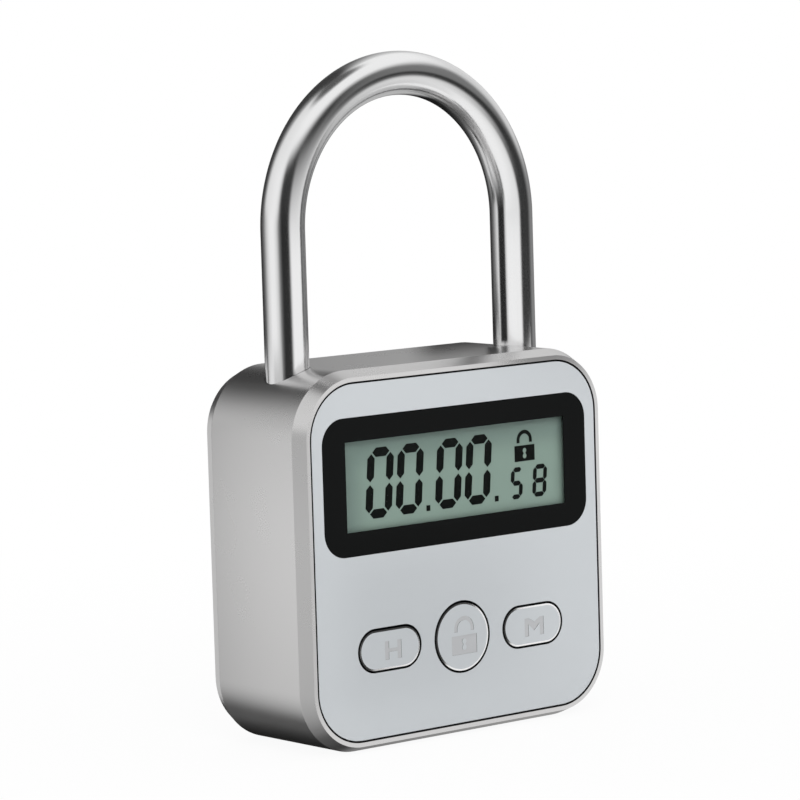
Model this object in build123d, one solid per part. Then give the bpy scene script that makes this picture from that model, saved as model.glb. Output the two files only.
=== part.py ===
from build123d import *
import math
import os

# A timer padlock: a die-cast body closed by a flush panel with a display and three keys,
# and a steel shackle held down by a bolt that a small gear motor moves through a rack.
# Millimetres. X runs across the front, Y from the front to the back, and Z is up.
# The origin is the middle of the underside.

# Body casting
BODY_W = 60.0
BODY_H = 57.25
BODY_D = 24.0
CORNER_R = 10.0
BEVEL_FACE = 0.95
BEVEL_DEPTH = 2.3
RIM_WALL = 1.6
LEDGE_W = 1.2
BACK_WALL = 1.6
BAY_CORNER_R = 2.0

# Front panel and the rubber band round it
PANEL_T = 1.4
PANEL_GAP = 0.3
GASKET_DROP = 0.25
GASKET_PLAY = 0.05

# Display window
WINDOW_SIDE = 3.92
WINDOW_TOP = 6.95
WINDOW_H = 20.6
WINDOW_CORNER_R = 3.9
WINDOW_PLAY = 0.08
BEZEL_SIDE = 4.34
BEZEL_TOP = 3.55
BEZEL_LIP_T = 0.2
BEZEL_FLANGE = 0.4
BEZEL_FLANGE_T = 0.6
LENS_T = 0.8
LENS_REBATE = 0.8
GLASS_T = 1.1
GLASS_REBATE = 1.9
GLASS_LEDGE = 1.8
GLASS_PLAY = 0.15
REFLECTOR_T = 0.3
HOLDER_WALL = 1.3
STRIP_W = 1.2
STRIP_PLAY = 0.1

# Keys
KEY_Z = 15.05
KEY_SPREAD = 14.3 / 60  # the side keys' distance from the middle, for each mm of body width
KEY_W = 11.7
KEY_H = 6.0
LOCK_KEY_D = 10.4
KEY_GAP = 0.35
KEY_EDGE = 0.25
KEY_FLANGE = 0.8
KEY_FLANGE_T = 0.6
KEY_FREE_PLAY = 0.05
KEY_TRAVEL = 0.4
SWITCH_W = 6.0
SWITCH_T = 1.9
STEM_W = 3.0
STEM_PLAY = 0.1
STEM_SEAT = 0.5

# Shackle
BAR_D = 6.7
LEG_INSET = 7.3
LEG_CLEARANCE = 0.08
ARCH_RISE = 20.5
TOE_DEPTH = 13.5
TOE_CLEAR = 0.5
TOE_CHAMFER = 0.5
GUIDE_LENGTH = 22.8
STOP_GAP = 0.05
RING_T = 0.8
RING_LAND = 0.8
RING_GROOVE_DEPTH = 0.85
RING_PLAY = 0.03
RING_MOUTH_ANGLE = 120.0
LEG_TIP = 1.6
POCKET_PLAY = 0.3

# Shackle spring
SPRING_WIRE = 0.6
SPRING_R = 2.5
SPRING_TURNS = 3
SPRING_SEAT_GAP = 0.05
POCKET_FLOOR = 4.85

# Bolt, rack and pinion
BOLT_W = 5.0
BOLT_H = 3.0
BOLT_TRAVEL = 2.6
BOLT_PLAY = 0.1
BOLT_SETBACK = 0.3
BOLT_TAIL = 12.0
BOLT_NOSE_CHAMFER = 0.4
NOTCH_CLEAR = 0.3
TOE_LIP = 2.2
TOE_HOLE_SPARE = 1.3
GEAR_MODULE = 0.5
PINION_TEETH = 12
PRESSURE_ANGLE = 25.0
ADDENDUM = 0.4
DEDENDUM = 0.55
BACKLASH = 0.05
PINION_INSET = 7.97
PINION_T = 2.8
SHAFT_D = 2.0
SHAFT_PLAY = 0.05
SHAFT_FLAT = 0.25
SHAFT_TIP = 0.5

# Gear motor and the carrier that holds it and guides the bolt
MOTOR_D = 8.0
GEARBOX_L = 9.0
MOTOR_L = 12.0
MOTOR_TERMINAL_L = 1.6
MOTOR_TERMINAL_W = 1.2
MOTOR_TERMINAL_T = 0.3
MOTOR_TERMINAL_SPAN = 4.0
PAD_W = 4.0
PAD_MARGIN = 1.0
GEARBOX_DROP = 2.0
CARRIER_PLATE_T = 1.7
CARRIER_GAP = 0.4
CARRIER_EAR_T = 2.0
CARRIER_SIDE = 1.4
SADDLE_PLAY = 0.05
SADDLE_L = 5.5
WING_T = 1.7
WING_W = 5.6
WING_H = 6.4
WING_DROP = 0.8
WING_SCREW_GAP = 0.5
WING_SCREW_STEP = 1.9
COLUMN_WALL = 2.3
COLUMN_FACE = 1.57

# Circuit board and what it carries
BOARD_T = 1.0
BOARD_PLAY = 0.4
STANDOFF = 0.6
BOARD_SCREW_DROP = 5.5
BOARD_SCREW_COLUMN = 6.1
BOARD_LUG_X = 12.0
LUG_R = 2.1
LUG_DEPTH = 7.8
SCREW_D = 1.6
SCREW_HEAD_D = 3.2
SCREW_HEAD_T = 1.0
SCREW_L = 4.5
SCREW_PLAY = 0.1
SCREW_SIDES = 8
CHIP_T = 1.0
CHIP_EDGE = 0.2
CONTROLLER_W = 7.0
DRIVER_W = 4.4
DRIVER_H = 3.5
CRYSTAL_W = 5.6
CRYSTAL_H = 2.4
CAPACITOR_W = 1.0
CAPACITOR_H = 2.0
CONNECTOR_W = 4.9
CONNECTOR_H = 2.8
COMPONENT_GAP = 2.0

# Charging socket
SOCKET_W = 8.94
SOCKET_H = 3.26
SOCKET_L = 7.3
SOCKET_WALL = 0.3
SOCKET_SETBACK = 0.5
SOCKET_TONGUE_W = 6.6
SOCKET_TONGUE_T = 0.7
SOCKET_TONGUE_SETBACK = 1.0
PORT_PLAY = 0.33

# Battery
BATTERY_MOTOR_GAP = 3.17
BATTERY_H = 25.0
BATTERY_T = 6.0
BATTERY_EDGE = 0.8
BATTERY_SIDE_GAP = 0.8
BATTERY_FLOOR_GAP = 1.1
TAPE_T = 0.7
TAPE_MARGIN = 2.0

# Depths, from the front to the back
FRONT_Y = -BODY_D / 2
BACK_Y = BODY_D / 2
BAR_R = BAR_D / 2
BORE_R = BAR_R + LEG_CLEARANCE
PANEL_BACK_Y = FRONT_Y + PANEL_T
LEDGE_Y = PANEL_BACK_Y
COLUMN_FRONT_Y = -(BORE_R + COLUMN_FACE)
BOARD_BACK_Y = COLUMN_FRONT_Y - STANDOFF
BOARD_FRONT_Y = BOARD_BACK_Y - BOARD_T
BACK_INNER_Y = BACK_Y - BACK_WALL
CUT = 1.0  # how far a cutting tool runs past the face that it opens

# Shackle places
LEG_X = BODY_W / 2 - LEG_INSET
ARCH_Z = BODY_H + ARCH_RISE
TOE_END_Z = BODY_H - TOE_DEPTH
TOE_HOLE_END_Z = TOE_END_Z - TOE_HOLE_SPARE
LIFT = TOE_DEPTH + TOE_CLEAR
GUIDE_END_Z = BODY_H - GUIDE_LENGTH
RING_TOP_Z = GUIDE_END_Z - LIFT - STOP_GAP
LONG_END_Z = RING_TOP_Z - RING_T - LEG_TIP
RING_OUTER_R = BORE_R + RING_LAND
RING_GROOVE_R = BAR_R - RING_GROOVE_DEPTH
POCKET_R = RING_OUTER_R + POCKET_PLAY

# Bolt and pinion places
BAY_HALF_W = LEG_X - BORE_R - COLUMN_WALL
BAY_FLOOR_Z = RIM_WALL + LEDGE_W
BAY_TOP_Z = BODY_H - RIM_WALL - LEDGE_W
PINION_X = BAY_HALF_W - PINION_INSET
BOLT_Z = TOE_END_Z + TOE_LIP + NOTCH_CLEAR + BOLT_H / 2
BOLT_NOSE_X = LEG_X - BORE_R - BOLT_SETBACK
BOLT_TAIL_X = PINION_X - BOLT_TAIL
EAR_LEFT_X = BOLT_TAIL_X + BOLT_TRAVEL + CARRIER_EAR_T / 2
PITCH_R = GEAR_MODULE * PINION_TEETH / 2
PITCH_LINE_Y = BOLT_W / 2 - ADDENDUM
PINION_Y = PITCH_LINE_Y + PITCH_R
GEARBOX_TOP_Z = BOLT_Z - BOLT_H / 2 - GEARBOX_DROP
GEARBOX_END_Z = GEARBOX_TOP_Z - GEARBOX_L
MOTOR_END_Z = GEARBOX_END_Z - MOTOR_L

# Key and window places
KEY_SPACING = BODY_W * KEY_SPREAD
WINDOW_W = BODY_W - 2 * WINDOW_SIDE
WINDOW_Z = BODY_H - WINDOW_TOP - WINDOW_H / 2
VIEW_W = WINDOW_W - 2 * BEZEL_SIDE
VIEW_H = WINDOW_H - 2 * BEZEL_TOP
LENS_FRONT_Y = FRONT_Y + BEZEL_LIP_T
GLASS_FRONT_Y = LENS_FRONT_Y + LENS_T
GLASS_STEP_Y = GLASS_FRONT_Y + GLASS_T
GLASS_BACK_Y = GLASS_STEP_Y + GLASS_T
GLASS_W = VIEW_W + 2 * GLASS_REBATE
GLASS_H = VIEW_H + 2 * GLASS_REBATE
STRIP_Z = GLASS_H / 2 - GLASS_LEDGE / 2

# Component places
COMPONENT_X = BAY_HALF_W / 2
COMPONENT_Z = (BAY_FLOOR_Z + BAY_TOP_Z) / 2


def front_plane(y):
    """A sketch plane at depth y, seen from the front, with Z as its upright axis."""
    return Plane(origin=(0, y, 0), x_dir=(1, 0, 0), z_dir=(0, -1, 0))


def slab(outline, y_front, y_back):
    """An outline drawn in X and Z, made solid between two depths."""
    return extrude(front_plane(y_back) * outline, y_back - y_front)


def upright(x, y, z_low, z_high, radius):
    """A cylinder that stands along Z."""
    height = z_high - z_low
    return Pos(x, y, z_low) * Cylinder(radius, height, align=(Align.CENTER, Align.CENTER, Align.MIN))


def block(x0, x1, y0, y1, z0, z1):
    """A box between two corners."""
    return Pos(x0, y0, z0) * Box(x1 - x0, y1 - y0, z1 - z0, align=Align.MIN)


def body_outline(inset):
    """The body's rounded outline drawn in by inset, with its corners kept concentric."""
    rounded = RectangleRounded(BODY_W - 2 * inset, BODY_H - 2 * inset, CORNER_R - inset)
    return Pos(0, BODY_H / 2) * rounded


def hour_outline(grow):
    """The hour key's outline, made larger all round by grow."""
    return Pos(-KEY_SPACING, KEY_Z) * SlotOverall(KEY_W + 2 * grow, KEY_H + 2 * grow)


def minute_outline(grow):
    """The minute key's outline, made larger all round by grow."""
    return Pos(KEY_SPACING, KEY_Z) * SlotOverall(KEY_W + 2 * grow, KEY_H + 2 * grow)


def lock_outline(grow):
    """The round lock key's outline, made larger all round by grow."""
    return Pos(0, KEY_Z) * Circle(LOCK_KEY_D / 2 + grow)


def window_outline(grow):
    """The window frame's outline, made larger all round by grow."""
    rounded = RectangleRounded(WINDOW_W + 2 * grow, WINDOW_H + 2 * grow, WINDOW_CORNER_R + grow)
    return Pos(0, WINDOW_Z) * rounded


def view_outline(grow):
    """The display opening's outline, made larger all round by grow."""
    return Pos(0, WINDOW_Z) * Rectangle(VIEW_W + 2 * grow, VIEW_H + 2 * grow)


def board_screw_places():
    """The four places where the board is screwed down, as X and Z."""
    high_x = LEG_X - BOARD_SCREW_COLUMN
    high_z = BODY_H - BOARD_SCREW_DROP
    low_z = BAY_FLOOR_Z + LUG_R
    return [(-high_x, high_z), (high_x, high_z), (-BOARD_LUG_X, low_z), (BOARD_LUG_X, low_z)]


def carrier_screw_places():
    """The two places where the carrier is screwed down, as X and Z."""
    wing_z = TOE_HOLE_END_Z - WING_DROP - WING_H / 2
    left_x = EAR_LEFT_X - WING_SCREW_GAP - SCREW_HEAD_D / 2
    right_x = BAY_HALF_W + WING_SCREW_STEP
    return [(left_x, wing_z), (right_x, wing_z)]


def wing_front_y():
    """The depth of the carrier wings' front faces, behind its plate."""
    return -BOLT_W / 2 - CARRIER_GAP


def screw_outline(x, z, grow):
    """A screw shank's outline, kept to few sides, made larger all round by grow."""
    return Pos(x, z) * RegularPolygon(SCREW_D / 2 + grow, SCREW_SIDES)


def screw(x, z, seat_y):
    """A screw driven towards the back, with its head on seat_y."""
    head = Pos(x, z) * RegularPolygon(SCREW_HEAD_D / 2, SCREW_SIDES)
    shank = slab(screw_outline(x, z, 0), seat_y, seat_y + SCREW_L)
    return slab(head, seat_y - SCREW_HEAD_T, seat_y) + shank


def port_outline(grow):
    """The charging socket's outline in X and Y, made larger all round by grow."""
    centre_y = BOARD_BACK_Y + SOCKET_H / 2
    corner_r = SOCKET_H / 2 - SOCKET_WALL + grow
    rounded = RectangleRounded(SOCKET_W + 2 * grow, SOCKET_H + 2 * grow, corner_r)
    return Pos(0, centre_y) * rounded


def body_shell():
    """The casting: bevelled front and back edges, shackle columns, bays, bosses and port."""
    shell = slab(body_outline(0), FRONT_Y, BACK_Y)
    front_face = shell.faces().sort_by(Axis.Y)[0]
    shell = chamfer(front_face.edges(), BEVEL_FACE, BEVEL_DEPTH, reference=front_face)
    back_face = shell.faces().sort_by(Axis.Y)[-1]
    shell = chamfer(back_face.edges(), BEVEL_FACE, BEVEL_DEPTH, reference=back_face)

    shell -= slab(body_outline(RIM_WALL), FRONT_Y - CUT, LEDGE_Y)
    shell -= slab(body_outline(RIM_WALL + LEDGE_W), LEDGE_Y - CUT, COLUMN_FRONT_Y)
    bay = Pos(0, (BAY_FLOOR_Z + BAY_TOP_Z) / 2) * RectangleRounded(
        2 * BAY_HALF_W, BAY_TOP_Z - BAY_FLOOR_Z, BAY_CORNER_R
    )
    shell -= slab(bay, COLUMN_FRONT_Y - CUT, BACK_INNER_Y)
    shell += board_bosses()
    shell += carrier_boss()
    shell -= carrier_notch()

    shell -= upright(-LEG_X, 0, POCKET_FLOOR + CUT, BODY_H + CUT, BORE_R)
    shell -= upright(LEG_X, 0, TOE_HOLE_END_Z, BODY_H + CUT, BORE_R)
    shell -= upright(-LEG_X, 0, POCKET_FLOOR, GUIDE_END_Z, POCKET_R)
    shell -= block(
        -LEG_X - POCKET_R, -LEG_X + POCKET_R, COLUMN_FRONT_Y - CUT, 0, POCKET_FLOOR, GUIDE_END_Z
    )
    bolt_half_w = BOLT_W / 2 + BOLT_PLAY
    bolt_half_h = BOLT_H / 2 + BOLT_PLAY
    shell -= block(
        BAY_HALF_W - CUT,
        LEG_X,
        -bolt_half_w,
        bolt_half_w,
        BOLT_Z - bolt_half_h,
        BOLT_Z + bolt_half_h,
    )
    shell -= extrude(Pos(0, 0, -CUT) * port_outline(PORT_PLAY), BAY_FLOOR_Z + 2 * CUT)
    for x, z in board_screw_places():
        hole_end_y = BOARD_FRONT_Y + SCREW_L + CUT
        shell -= slab(screw_outline(x, z, SCREW_PLAY), BOARD_BACK_Y - CUT, hole_end_y)
    for x, z in carrier_screw_places():
        hole_end_y = wing_front_y() + SCREW_L + CUT
        shell -= slab(screw_outline(x, z, SCREW_PLAY), wing_front_y(), hole_end_y)
    return shell


def board_bosses():
    """Two bosses beside the columns and two lugs on the floor that carry the board."""
    bosses = []
    for x, z in board_screw_places():
        is_high = z > BODY_H / 2
        back_y = BACK_INNER_Y if is_high else BOARD_BACK_Y + LUG_DEPTH
        foot = 0 if is_high else CUT
        boss = Pos(x, z - foot / 2) * Rectangle(2 * LUG_R, 2 * LUG_R + foot)
        bosses.append(slab(boss, BOARD_BACK_Y, back_y))
    return bosses


def carrier_boss():
    """The boss that rises from the back wall to the carrier's left wing."""
    x, z = carrier_screw_places()[0]
    boss = Pos(x, z) * Rectangle(2 * LUG_R, 2 * LUG_R)
    return slab(boss, wing_front_y() + WING_T, BACK_INNER_Y + CUT)


def carrier_notch():
    """The notch in the right column's front that the carrier's right wing lies in."""
    x, z = carrier_screw_places()[1]
    half_h = WING_H / 2 + BOARD_PLAY
    right_x = x + WING_W / 2 + BOARD_PLAY
    back_y = wing_front_y() + WING_T
    return block(BAY_HALF_W - CUT, right_x, COLUMN_FRONT_Y - CUT, back_y, z - half_h, z + half_h)


def front_panel():
    """The flat panel, flush with the body, with its window opening and key holes."""
    panel = body_outline(RIM_WALL + PANEL_GAP) - window_outline(WINDOW_PLAY)
    panel -= hour_outline(KEY_GAP)
    panel -= lock_outline(KEY_GAP)
    panel -= minute_outline(KEY_GAP)
    return slab(panel, FRONT_Y, PANEL_BACK_Y)


def panel_gasket():
    """The rubber band that fills the gap between the panel and the body."""
    band = body_outline(RIM_WALL + GASKET_PLAY) - body_outline(RIM_WALL + PANEL_GAP - GASKET_PLAY)
    return slab(band, FRONT_Y + GASKET_DROP, LEDGE_Y)


def window_frame():
    """The moulded bezel: a front lip round the view, rebates for the lens and the glass."""
    back_y = PANEL_BACK_Y + BEZEL_FLANGE_T
    frame = slab(window_outline(0), FRONT_Y, PANEL_BACK_Y)
    frame += slab(window_outline(BEZEL_FLANGE), PANEL_BACK_Y, back_y)
    frame -= slab(view_outline(0), FRONT_Y - CUT, back_y + CUT)
    frame -= slab(view_outline(LENS_REBATE), LENS_FRONT_Y, back_y + CUT)
    frame -= slab(view_outline(GLASS_REBATE + GLASS_PLAY), GLASS_FRONT_Y, back_y + CUT)
    return frame


def window_lens():
    """The clear sheet behind the bezel's lip."""
    return slab(view_outline(LENS_REBATE - GLASS_PLAY), LENS_FRONT_Y, GLASS_FRONT_Y)


def lcd_glass():
    """The display cell: a front glass whose long edges stand out as contact ledges."""
    front = slab(view_outline(GLASS_REBATE), GLASS_FRONT_Y, GLASS_STEP_Y)
    rear = Pos(0, WINDOW_Z) * Rectangle(GLASS_W, GLASS_H - 2 * GLASS_LEDGE)
    return front + slab(rear, GLASS_STEP_Y, GLASS_BACK_Y)


def holder_window():
    """The opening in the middle of the display's tray."""
    opening_h = GLASS_H - 2 * GLASS_LEDGE - 2 * HOLDER_WALL
    return Pos(0, WINDOW_Z) * Rectangle(VIEW_W - 2 * HOLDER_WALL, opening_h)


def strip_outline(side, grow):
    """A contact strip's outline, above or below the display's rear glass."""
    return Pos(0, WINDOW_Z + side * STRIP_Z) * Rectangle(VIEW_W + 2 * grow, STRIP_W + 2 * grow)


def lcd_holder():
    """The tray between the display and the board, with slots for the contact strips."""
    front_y = PANEL_BACK_Y + BEZEL_FLANGE_T
    outer = Rectangle(GLASS_W + 2 * HOLDER_WALL, GLASS_H + 2 * HOLDER_WALL)
    tray = slab(Pos(0, WINDOW_Z) * outer, front_y, BOARD_FRONT_Y)
    tray -= slab(view_outline(GLASS_REBATE + GLASS_PLAY), front_y - CUT, GLASS_BACK_Y)
    tray -= slab(holder_window(), GLASS_BACK_Y - CUT, BOARD_FRONT_Y + CUT)
    for side in (-1, 1):
        tray -= slab(strip_outline(side, STRIP_PLAY), GLASS_BACK_Y - CUT, BOARD_FRONT_Y + CUT)
    return tray


def lcd_reflector():
    """The thin reflector on the back of the display's rear glass."""
    sheet = offset(holder_window(), -STRIP_PLAY)
    return slab(sheet, GLASS_BACK_Y, GLASS_BACK_Y + REFLECTOR_T)


def zebra_strips():
    """Two rubber contact strips from the front glass's ledges to the board."""
    strips = [slab(strip_outline(side, 0), GLASS_STEP_Y, BOARD_FRONT_Y) for side in (-1, 1)]
    return Compound([strip.solid() for strip in strips])


def key_cap(outline, flange):
    """A key: its cap in the panel's hole, and a flange behind the panel that keeps it in."""
    cap = slab(outline(0), FRONT_Y, key_flange_y())
    cap = chamfer(cap.edges().group_by(Axis.Y)[0], KEY_EDGE)
    return cap + slab(flange, key_flange_y(), key_flange_y() + KEY_FLANGE_T)


def key_flange_y():
    """The depth of the key flanges' front faces, just behind the panel."""
    return PANEL_BACK_Y + KEY_FREE_PLAY


def side_key(x, outline):
    """The hour or the minute key, with a rectangular flange."""
    flange = Pos(x, KEY_Z) * Rectangle(KEY_W + 2 * KEY_FLANGE, KEY_H + 2 * KEY_FLANGE)
    return key_cap(outline, flange)


def lock_key():
    """The round lock key, with a square flange."""
    flange_w = LOCK_KEY_D + 2 * KEY_FLANGE
    return key_cap(lock_outline, Pos(0, KEY_Z) * Rectangle(flange_w, flange_w))


def switch_stem(x):
    """The square stem of a tact switch, from the key's flange into the switch's well."""
    front_y = key_flange_y() + KEY_FLANGE_T
    back_y = BOARD_FRONT_Y - STEM_SEAT - KEY_TRAVEL
    return slab(Pos(x, KEY_Z) * Rectangle(STEM_W, STEM_W), front_y, back_y)


def switch_bases():
    """The three tact switches' bases, each with a square well for its stem."""
    bases = []
    well_w = STEM_W + 2 * STEM_PLAY
    front_y = BOARD_FRONT_Y - SWITCH_T
    for x in (-KEY_SPACING, 0, KEY_SPACING):
        base = slab(Pos(x, KEY_Z) * Rectangle(SWITCH_W, SWITCH_W), front_y, BOARD_FRONT_Y)
        well = Pos(x, KEY_Z) * Rectangle(well_w, well_w)
        base -= slab(well, front_y - CUT, BOARD_FRONT_Y - STEM_SEAT)
        bases.append(base.solid())
    return Compound(bases)


def shackle():
    """The bent bar: long leg with a ring groove, arch, and short leg with the bolt's notch."""
    long_leg = Line((-LEG_X, 0, LONG_END_Z), (-LEG_X, 0, ARCH_Z))
    arch = ThreePointArc((-LEG_X, 0, ARCH_Z), (0, 0, ARCH_Z + LEG_X), (LEG_X, 0, ARCH_Z))
    short_leg = Line((LEG_X, 0, ARCH_Z), (LEG_X, 0, TOE_END_Z))
    path = Wire([long_leg, arch, short_leg])
    section = Plane(origin=(-LEG_X, 0, LONG_END_Z), z_dir=(0, 0, 1)) * Circle(BAR_R)
    bar = sweep(section, path=path)
    toe_end = bar.faces().filter_by(GeomType.PLANE).sort_by(Axis.X)[-1]
    bar = chamfer(toe_end.edges(), TOE_CHAMFER)

    groove = upright(-LEG_X, 0, RING_TOP_Z - RING_T, RING_TOP_Z, BAR_R + CUT)
    groove -= upright(-LEG_X, 0, RING_TOP_Z - RING_T - CUT, RING_TOP_Z + CUT, RING_GROOVE_R)
    notch_half_h = BOLT_H / 2 + NOTCH_CLEAR
    notch = block(
        LEG_X - BAR_R - CUT,
        BOLT_NOSE_X + BOLT_TRAVEL + NOTCH_CLEAR,
        -BAR_D,
        BAR_D,
        BOLT_Z - notch_half_h,
        BOLT_Z + notch_half_h,
    )
    return bar - groove - notch


def retaining_ring():
    """The open ring clipped into the long leg's groove, which stops the lift."""
    ring = upright(-LEG_X, 0, RING_TOP_Z - RING_T + RING_PLAY, RING_TOP_Z - RING_PLAY, RING_OUTER_R)
    hole_r = RING_GROOVE_R + RING_PLAY
    ring -= upright(-LEG_X, 0, RING_TOP_Z - RING_T - CUT, RING_TOP_Z + CUT, hole_r)
    mouth_half = hole_r * math.sin(math.radians(RING_MOUTH_ANGLE / 2))
    ring -= block(
        -LEG_X - mouth_half,
        -LEG_X + mouth_half,
        -RING_OUTER_R - CUT,
        0,
        RING_TOP_Z - RING_T - CUT,
        RING_TOP_Z + CUT,
    )
    return ring


def coil(radius, rise, turns, wire_d):
    """A coil of square wire on the Z axis, on tangent arcs, two for each half turn."""
    lead = rise / (2 * math.pi * turns)
    arcs = []
    for half_turn in range(2 * turns):
        ends = []
        for angle in (math.pi * half_turn, math.pi * (half_turn + 1)):
            sine, cosine = math.sin(angle), math.cos(angle)
            point = Vector(radius * cosine, radius * sine, lead * angle)
            heading = Vector(-radius * sine, radius * cosine, lead).normalized()
            ends.append((point, heading))
        (start, start_way), (end, end_way) = ends
        chord = end - start
        along = chord.dot(start_way + end_way)
        spread = 2 * (1 - start_way.dot(end_way))
        reach = (math.sqrt(along**2 + spread * chord.dot(chord)) - along) / spread
        first_corner = start + start_way * reach
        last_corner = end - end_way * reach
        middle = (first_corner + last_corner) * 0.5
        arcs.append(TangentArc(start, middle, tangent=start_way))
        arcs.append(TangentArc(middle, end, tangent=last_corner - first_corner))
    path = Wire(arcs)
    section = Plane(origin=path @ 0, x_dir=(1, 0, 0), z_dir=path % 0) * Rectangle(wire_d, wire_d)
    return sweep(section, path=path)


def shackle_spring():
    """The spring under the long leg, pressed down as it is with the shackle shut."""
    foot_z = POCKET_FLOOR + SPRING_SEAT_GAP + SPRING_WIRE / 2
    top_z = LONG_END_Z - SPRING_SEAT_GAP - SPRING_WIRE / 2
    wire = coil(SPRING_R, top_z - foot_z, SPRING_TURNS, SPRING_WIRE)
    return Pos(-LEG_X, 0, foot_z) * wire


def rack_space(x):
    """The space between two rack teeth, cut through the bolt's rear face."""
    half_pitch_gap = (math.pi * GEAR_MODULE + BACKLASH) / 4
    slope = math.tan(math.radians(PRESSURE_ANGLE))
    root_half = half_pitch_gap - DEDENDUM * slope
    mouth_half = half_pitch_gap + (ADDENDUM + CUT) * slope
    root_y = PITCH_LINE_Y - DEDENDUM
    mouth_y = PITCH_LINE_Y + ADDENDUM + CUT
    outline = Polygon(
        (x - root_half, root_y),
        (x + root_half, root_y),
        (x + mouth_half, mouth_y),
        (x - mouth_half, mouth_y),
        align=None,
    )
    return extrude(Pos(0, 0, BOLT_Z - BOLT_H) * outline, 2 * BOLT_H)


def latch_bolt():
    """The sliding bolt, drawn back at rest, with its rack cut in the rear face."""
    half_w = BOLT_W / 2
    half_h = BOLT_H / 2
    bolt = block(BOLT_TAIL_X, BOLT_NOSE_X, -half_w, half_w, BOLT_Z - half_h, BOLT_Z + half_h)
    bolt = chamfer(bolt.faces().sort_by(Axis.X)[-1].edges(), BOLT_NOSE_CHAMFER)
    pitch = math.pi * GEAR_MODULE
    reach = math.sqrt((PITCH_R + ADDENDUM) ** 2 - (PITCH_R - ADDENDUM) ** 2)
    first = -math.ceil((BOLT_TRAVEL + reach) / pitch)
    last = math.ceil(reach / pitch)
    for place in range(first, last + 1):
        bolt -= rack_space(PINION_X + place * pitch)
    return bolt


def pinion_tooth():
    """One involute tooth of the pinion, standing along X from inside the root circle."""
    base_r = PITCH_R * math.cos(math.radians(PRESSURE_ANGLE))
    tip_r = PITCH_R + ADDENDUM
    foot_r = PITCH_R - DEDENDUM

    def unroll(radius):
        turn = math.sqrt(max((radius / base_r) ** 2 - 1, 0))
        return turn - math.atan(turn)

    half_at_pitch = math.pi / (2 * PINION_TEETH) - BACKLASH / (4 * PITCH_R) + unroll(PITCH_R)
    flank_radii = (base_r, PITCH_R, tip_r)
    upper = []
    for radius in flank_radii:
        angle = half_at_pitch - unroll(radius)
        upper.append((radius * math.cos(angle), radius * math.sin(angle)))
    lower = [(x, -y) for x, y in reversed(upper)]
    foot_angle = half_at_pitch
    inner_r = foot_r - ADDENDUM
    foot_up = (inner_r * math.cos(foot_angle), inner_r * math.sin(foot_angle))
    foot_down = (foot_up[0], -foot_up[1])
    outline = [
        Line(foot_up, upper[0]),
        ThreePointArc(*upper),
        Line(upper[-1], lower[0]),
        ThreePointArc(*lower),
        Line(lower[-1], foot_down),
        Line(foot_down, foot_up),
    ]
    return make_face(Wire(outline))


def shaft_outline(radius):
    """The output shaft's round section with its flat."""
    cutter = Rectangle(2 * radius, 2 * radius, align=(Align.MIN, Align.CENTER))
    return Circle(radius) - Pos(radius - SHAFT_FLAT, 0) * cutter


def drive_pinion():
    """The pinion, in mesh with the rack at rest, with a hole to fit the shaft."""
    gear = Circle(PITCH_R - DEDENDUM)
    tooth = pinion_tooth()
    for place in range(PINION_TEETH):
        gear += Rot(0, 0, -90 + place * 360 / PINION_TEETH) * tooth
    gear -= shaft_outline(SHAFT_D / 2 + SHAFT_PLAY / 2)
    return Pos(PINION_X, PINION_Y, BOLT_Z - PINION_T / 2) * extrude(gear, PINION_T)


def output_shaft():
    """The gearbox's output shaft, from inside the gearbox to just above the pinion."""
    low_z = GEARBOX_TOP_Z - GEARBOX_DROP
    high_z = BOLT_Z + PINION_T / 2 + SHAFT_TIP
    return Pos(PINION_X, PINION_Y, low_z) * extrude(shaft_outline(SHAFT_D / 2), high_z - low_z)


def motor_square(half_w, z_low, z_high):
    """A square block about the motor's axis."""
    return block(
        PINION_X - half_w, PINION_X + half_w, PINION_Y - half_w, PINION_Y + half_w, z_low, z_high
    )


def gearbox_case():
    """The square gearbox, with a well that the output shaft runs in."""
    case = motor_square(MOTOR_D / 2, GEARBOX_END_Z, GEARBOX_TOP_Z)
    well_low_z = GEARBOX_TOP_Z - GEARBOX_DROP
    well_r = SHAFT_D / 2 + SHAFT_PLAY
    return case - upright(PINION_X, PINION_Y, well_low_z, GEARBOX_TOP_Z + CUT, well_r)


def motor_can():
    """The motor's can with its two flat terminals."""
    can = upright(PINION_X, PINION_Y, MOTOR_END_Z, GEARBOX_END_Z, MOTOR_D / 2)
    half_w = MOTOR_TERMINAL_W / 2
    half_t = MOTOR_TERMINAL_T / 2
    low_z = MOTOR_END_Z - MOTOR_TERMINAL_L
    for side in (-1, 1):
        x = PINION_X + side * MOTOR_TERMINAL_SPAN / 2
        can += block(x - half_w, x + half_w, PINION_Y - half_t, PINION_Y + half_t, low_z, MOTOR_END_Z)
    return can


def motor_pad():
    """The rubber pad between the gear motor and the back wall."""
    return block(
        PINION_X - PAD_W / 2,
        PINION_X + PAD_W / 2,
        PINION_Y + MOTOR_D / 2,
        BACK_INNER_Y,
        MOTOR_END_Z + PAD_MARGIN,
        GEARBOX_TOP_Z - PAD_MARGIN,
    )


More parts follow.
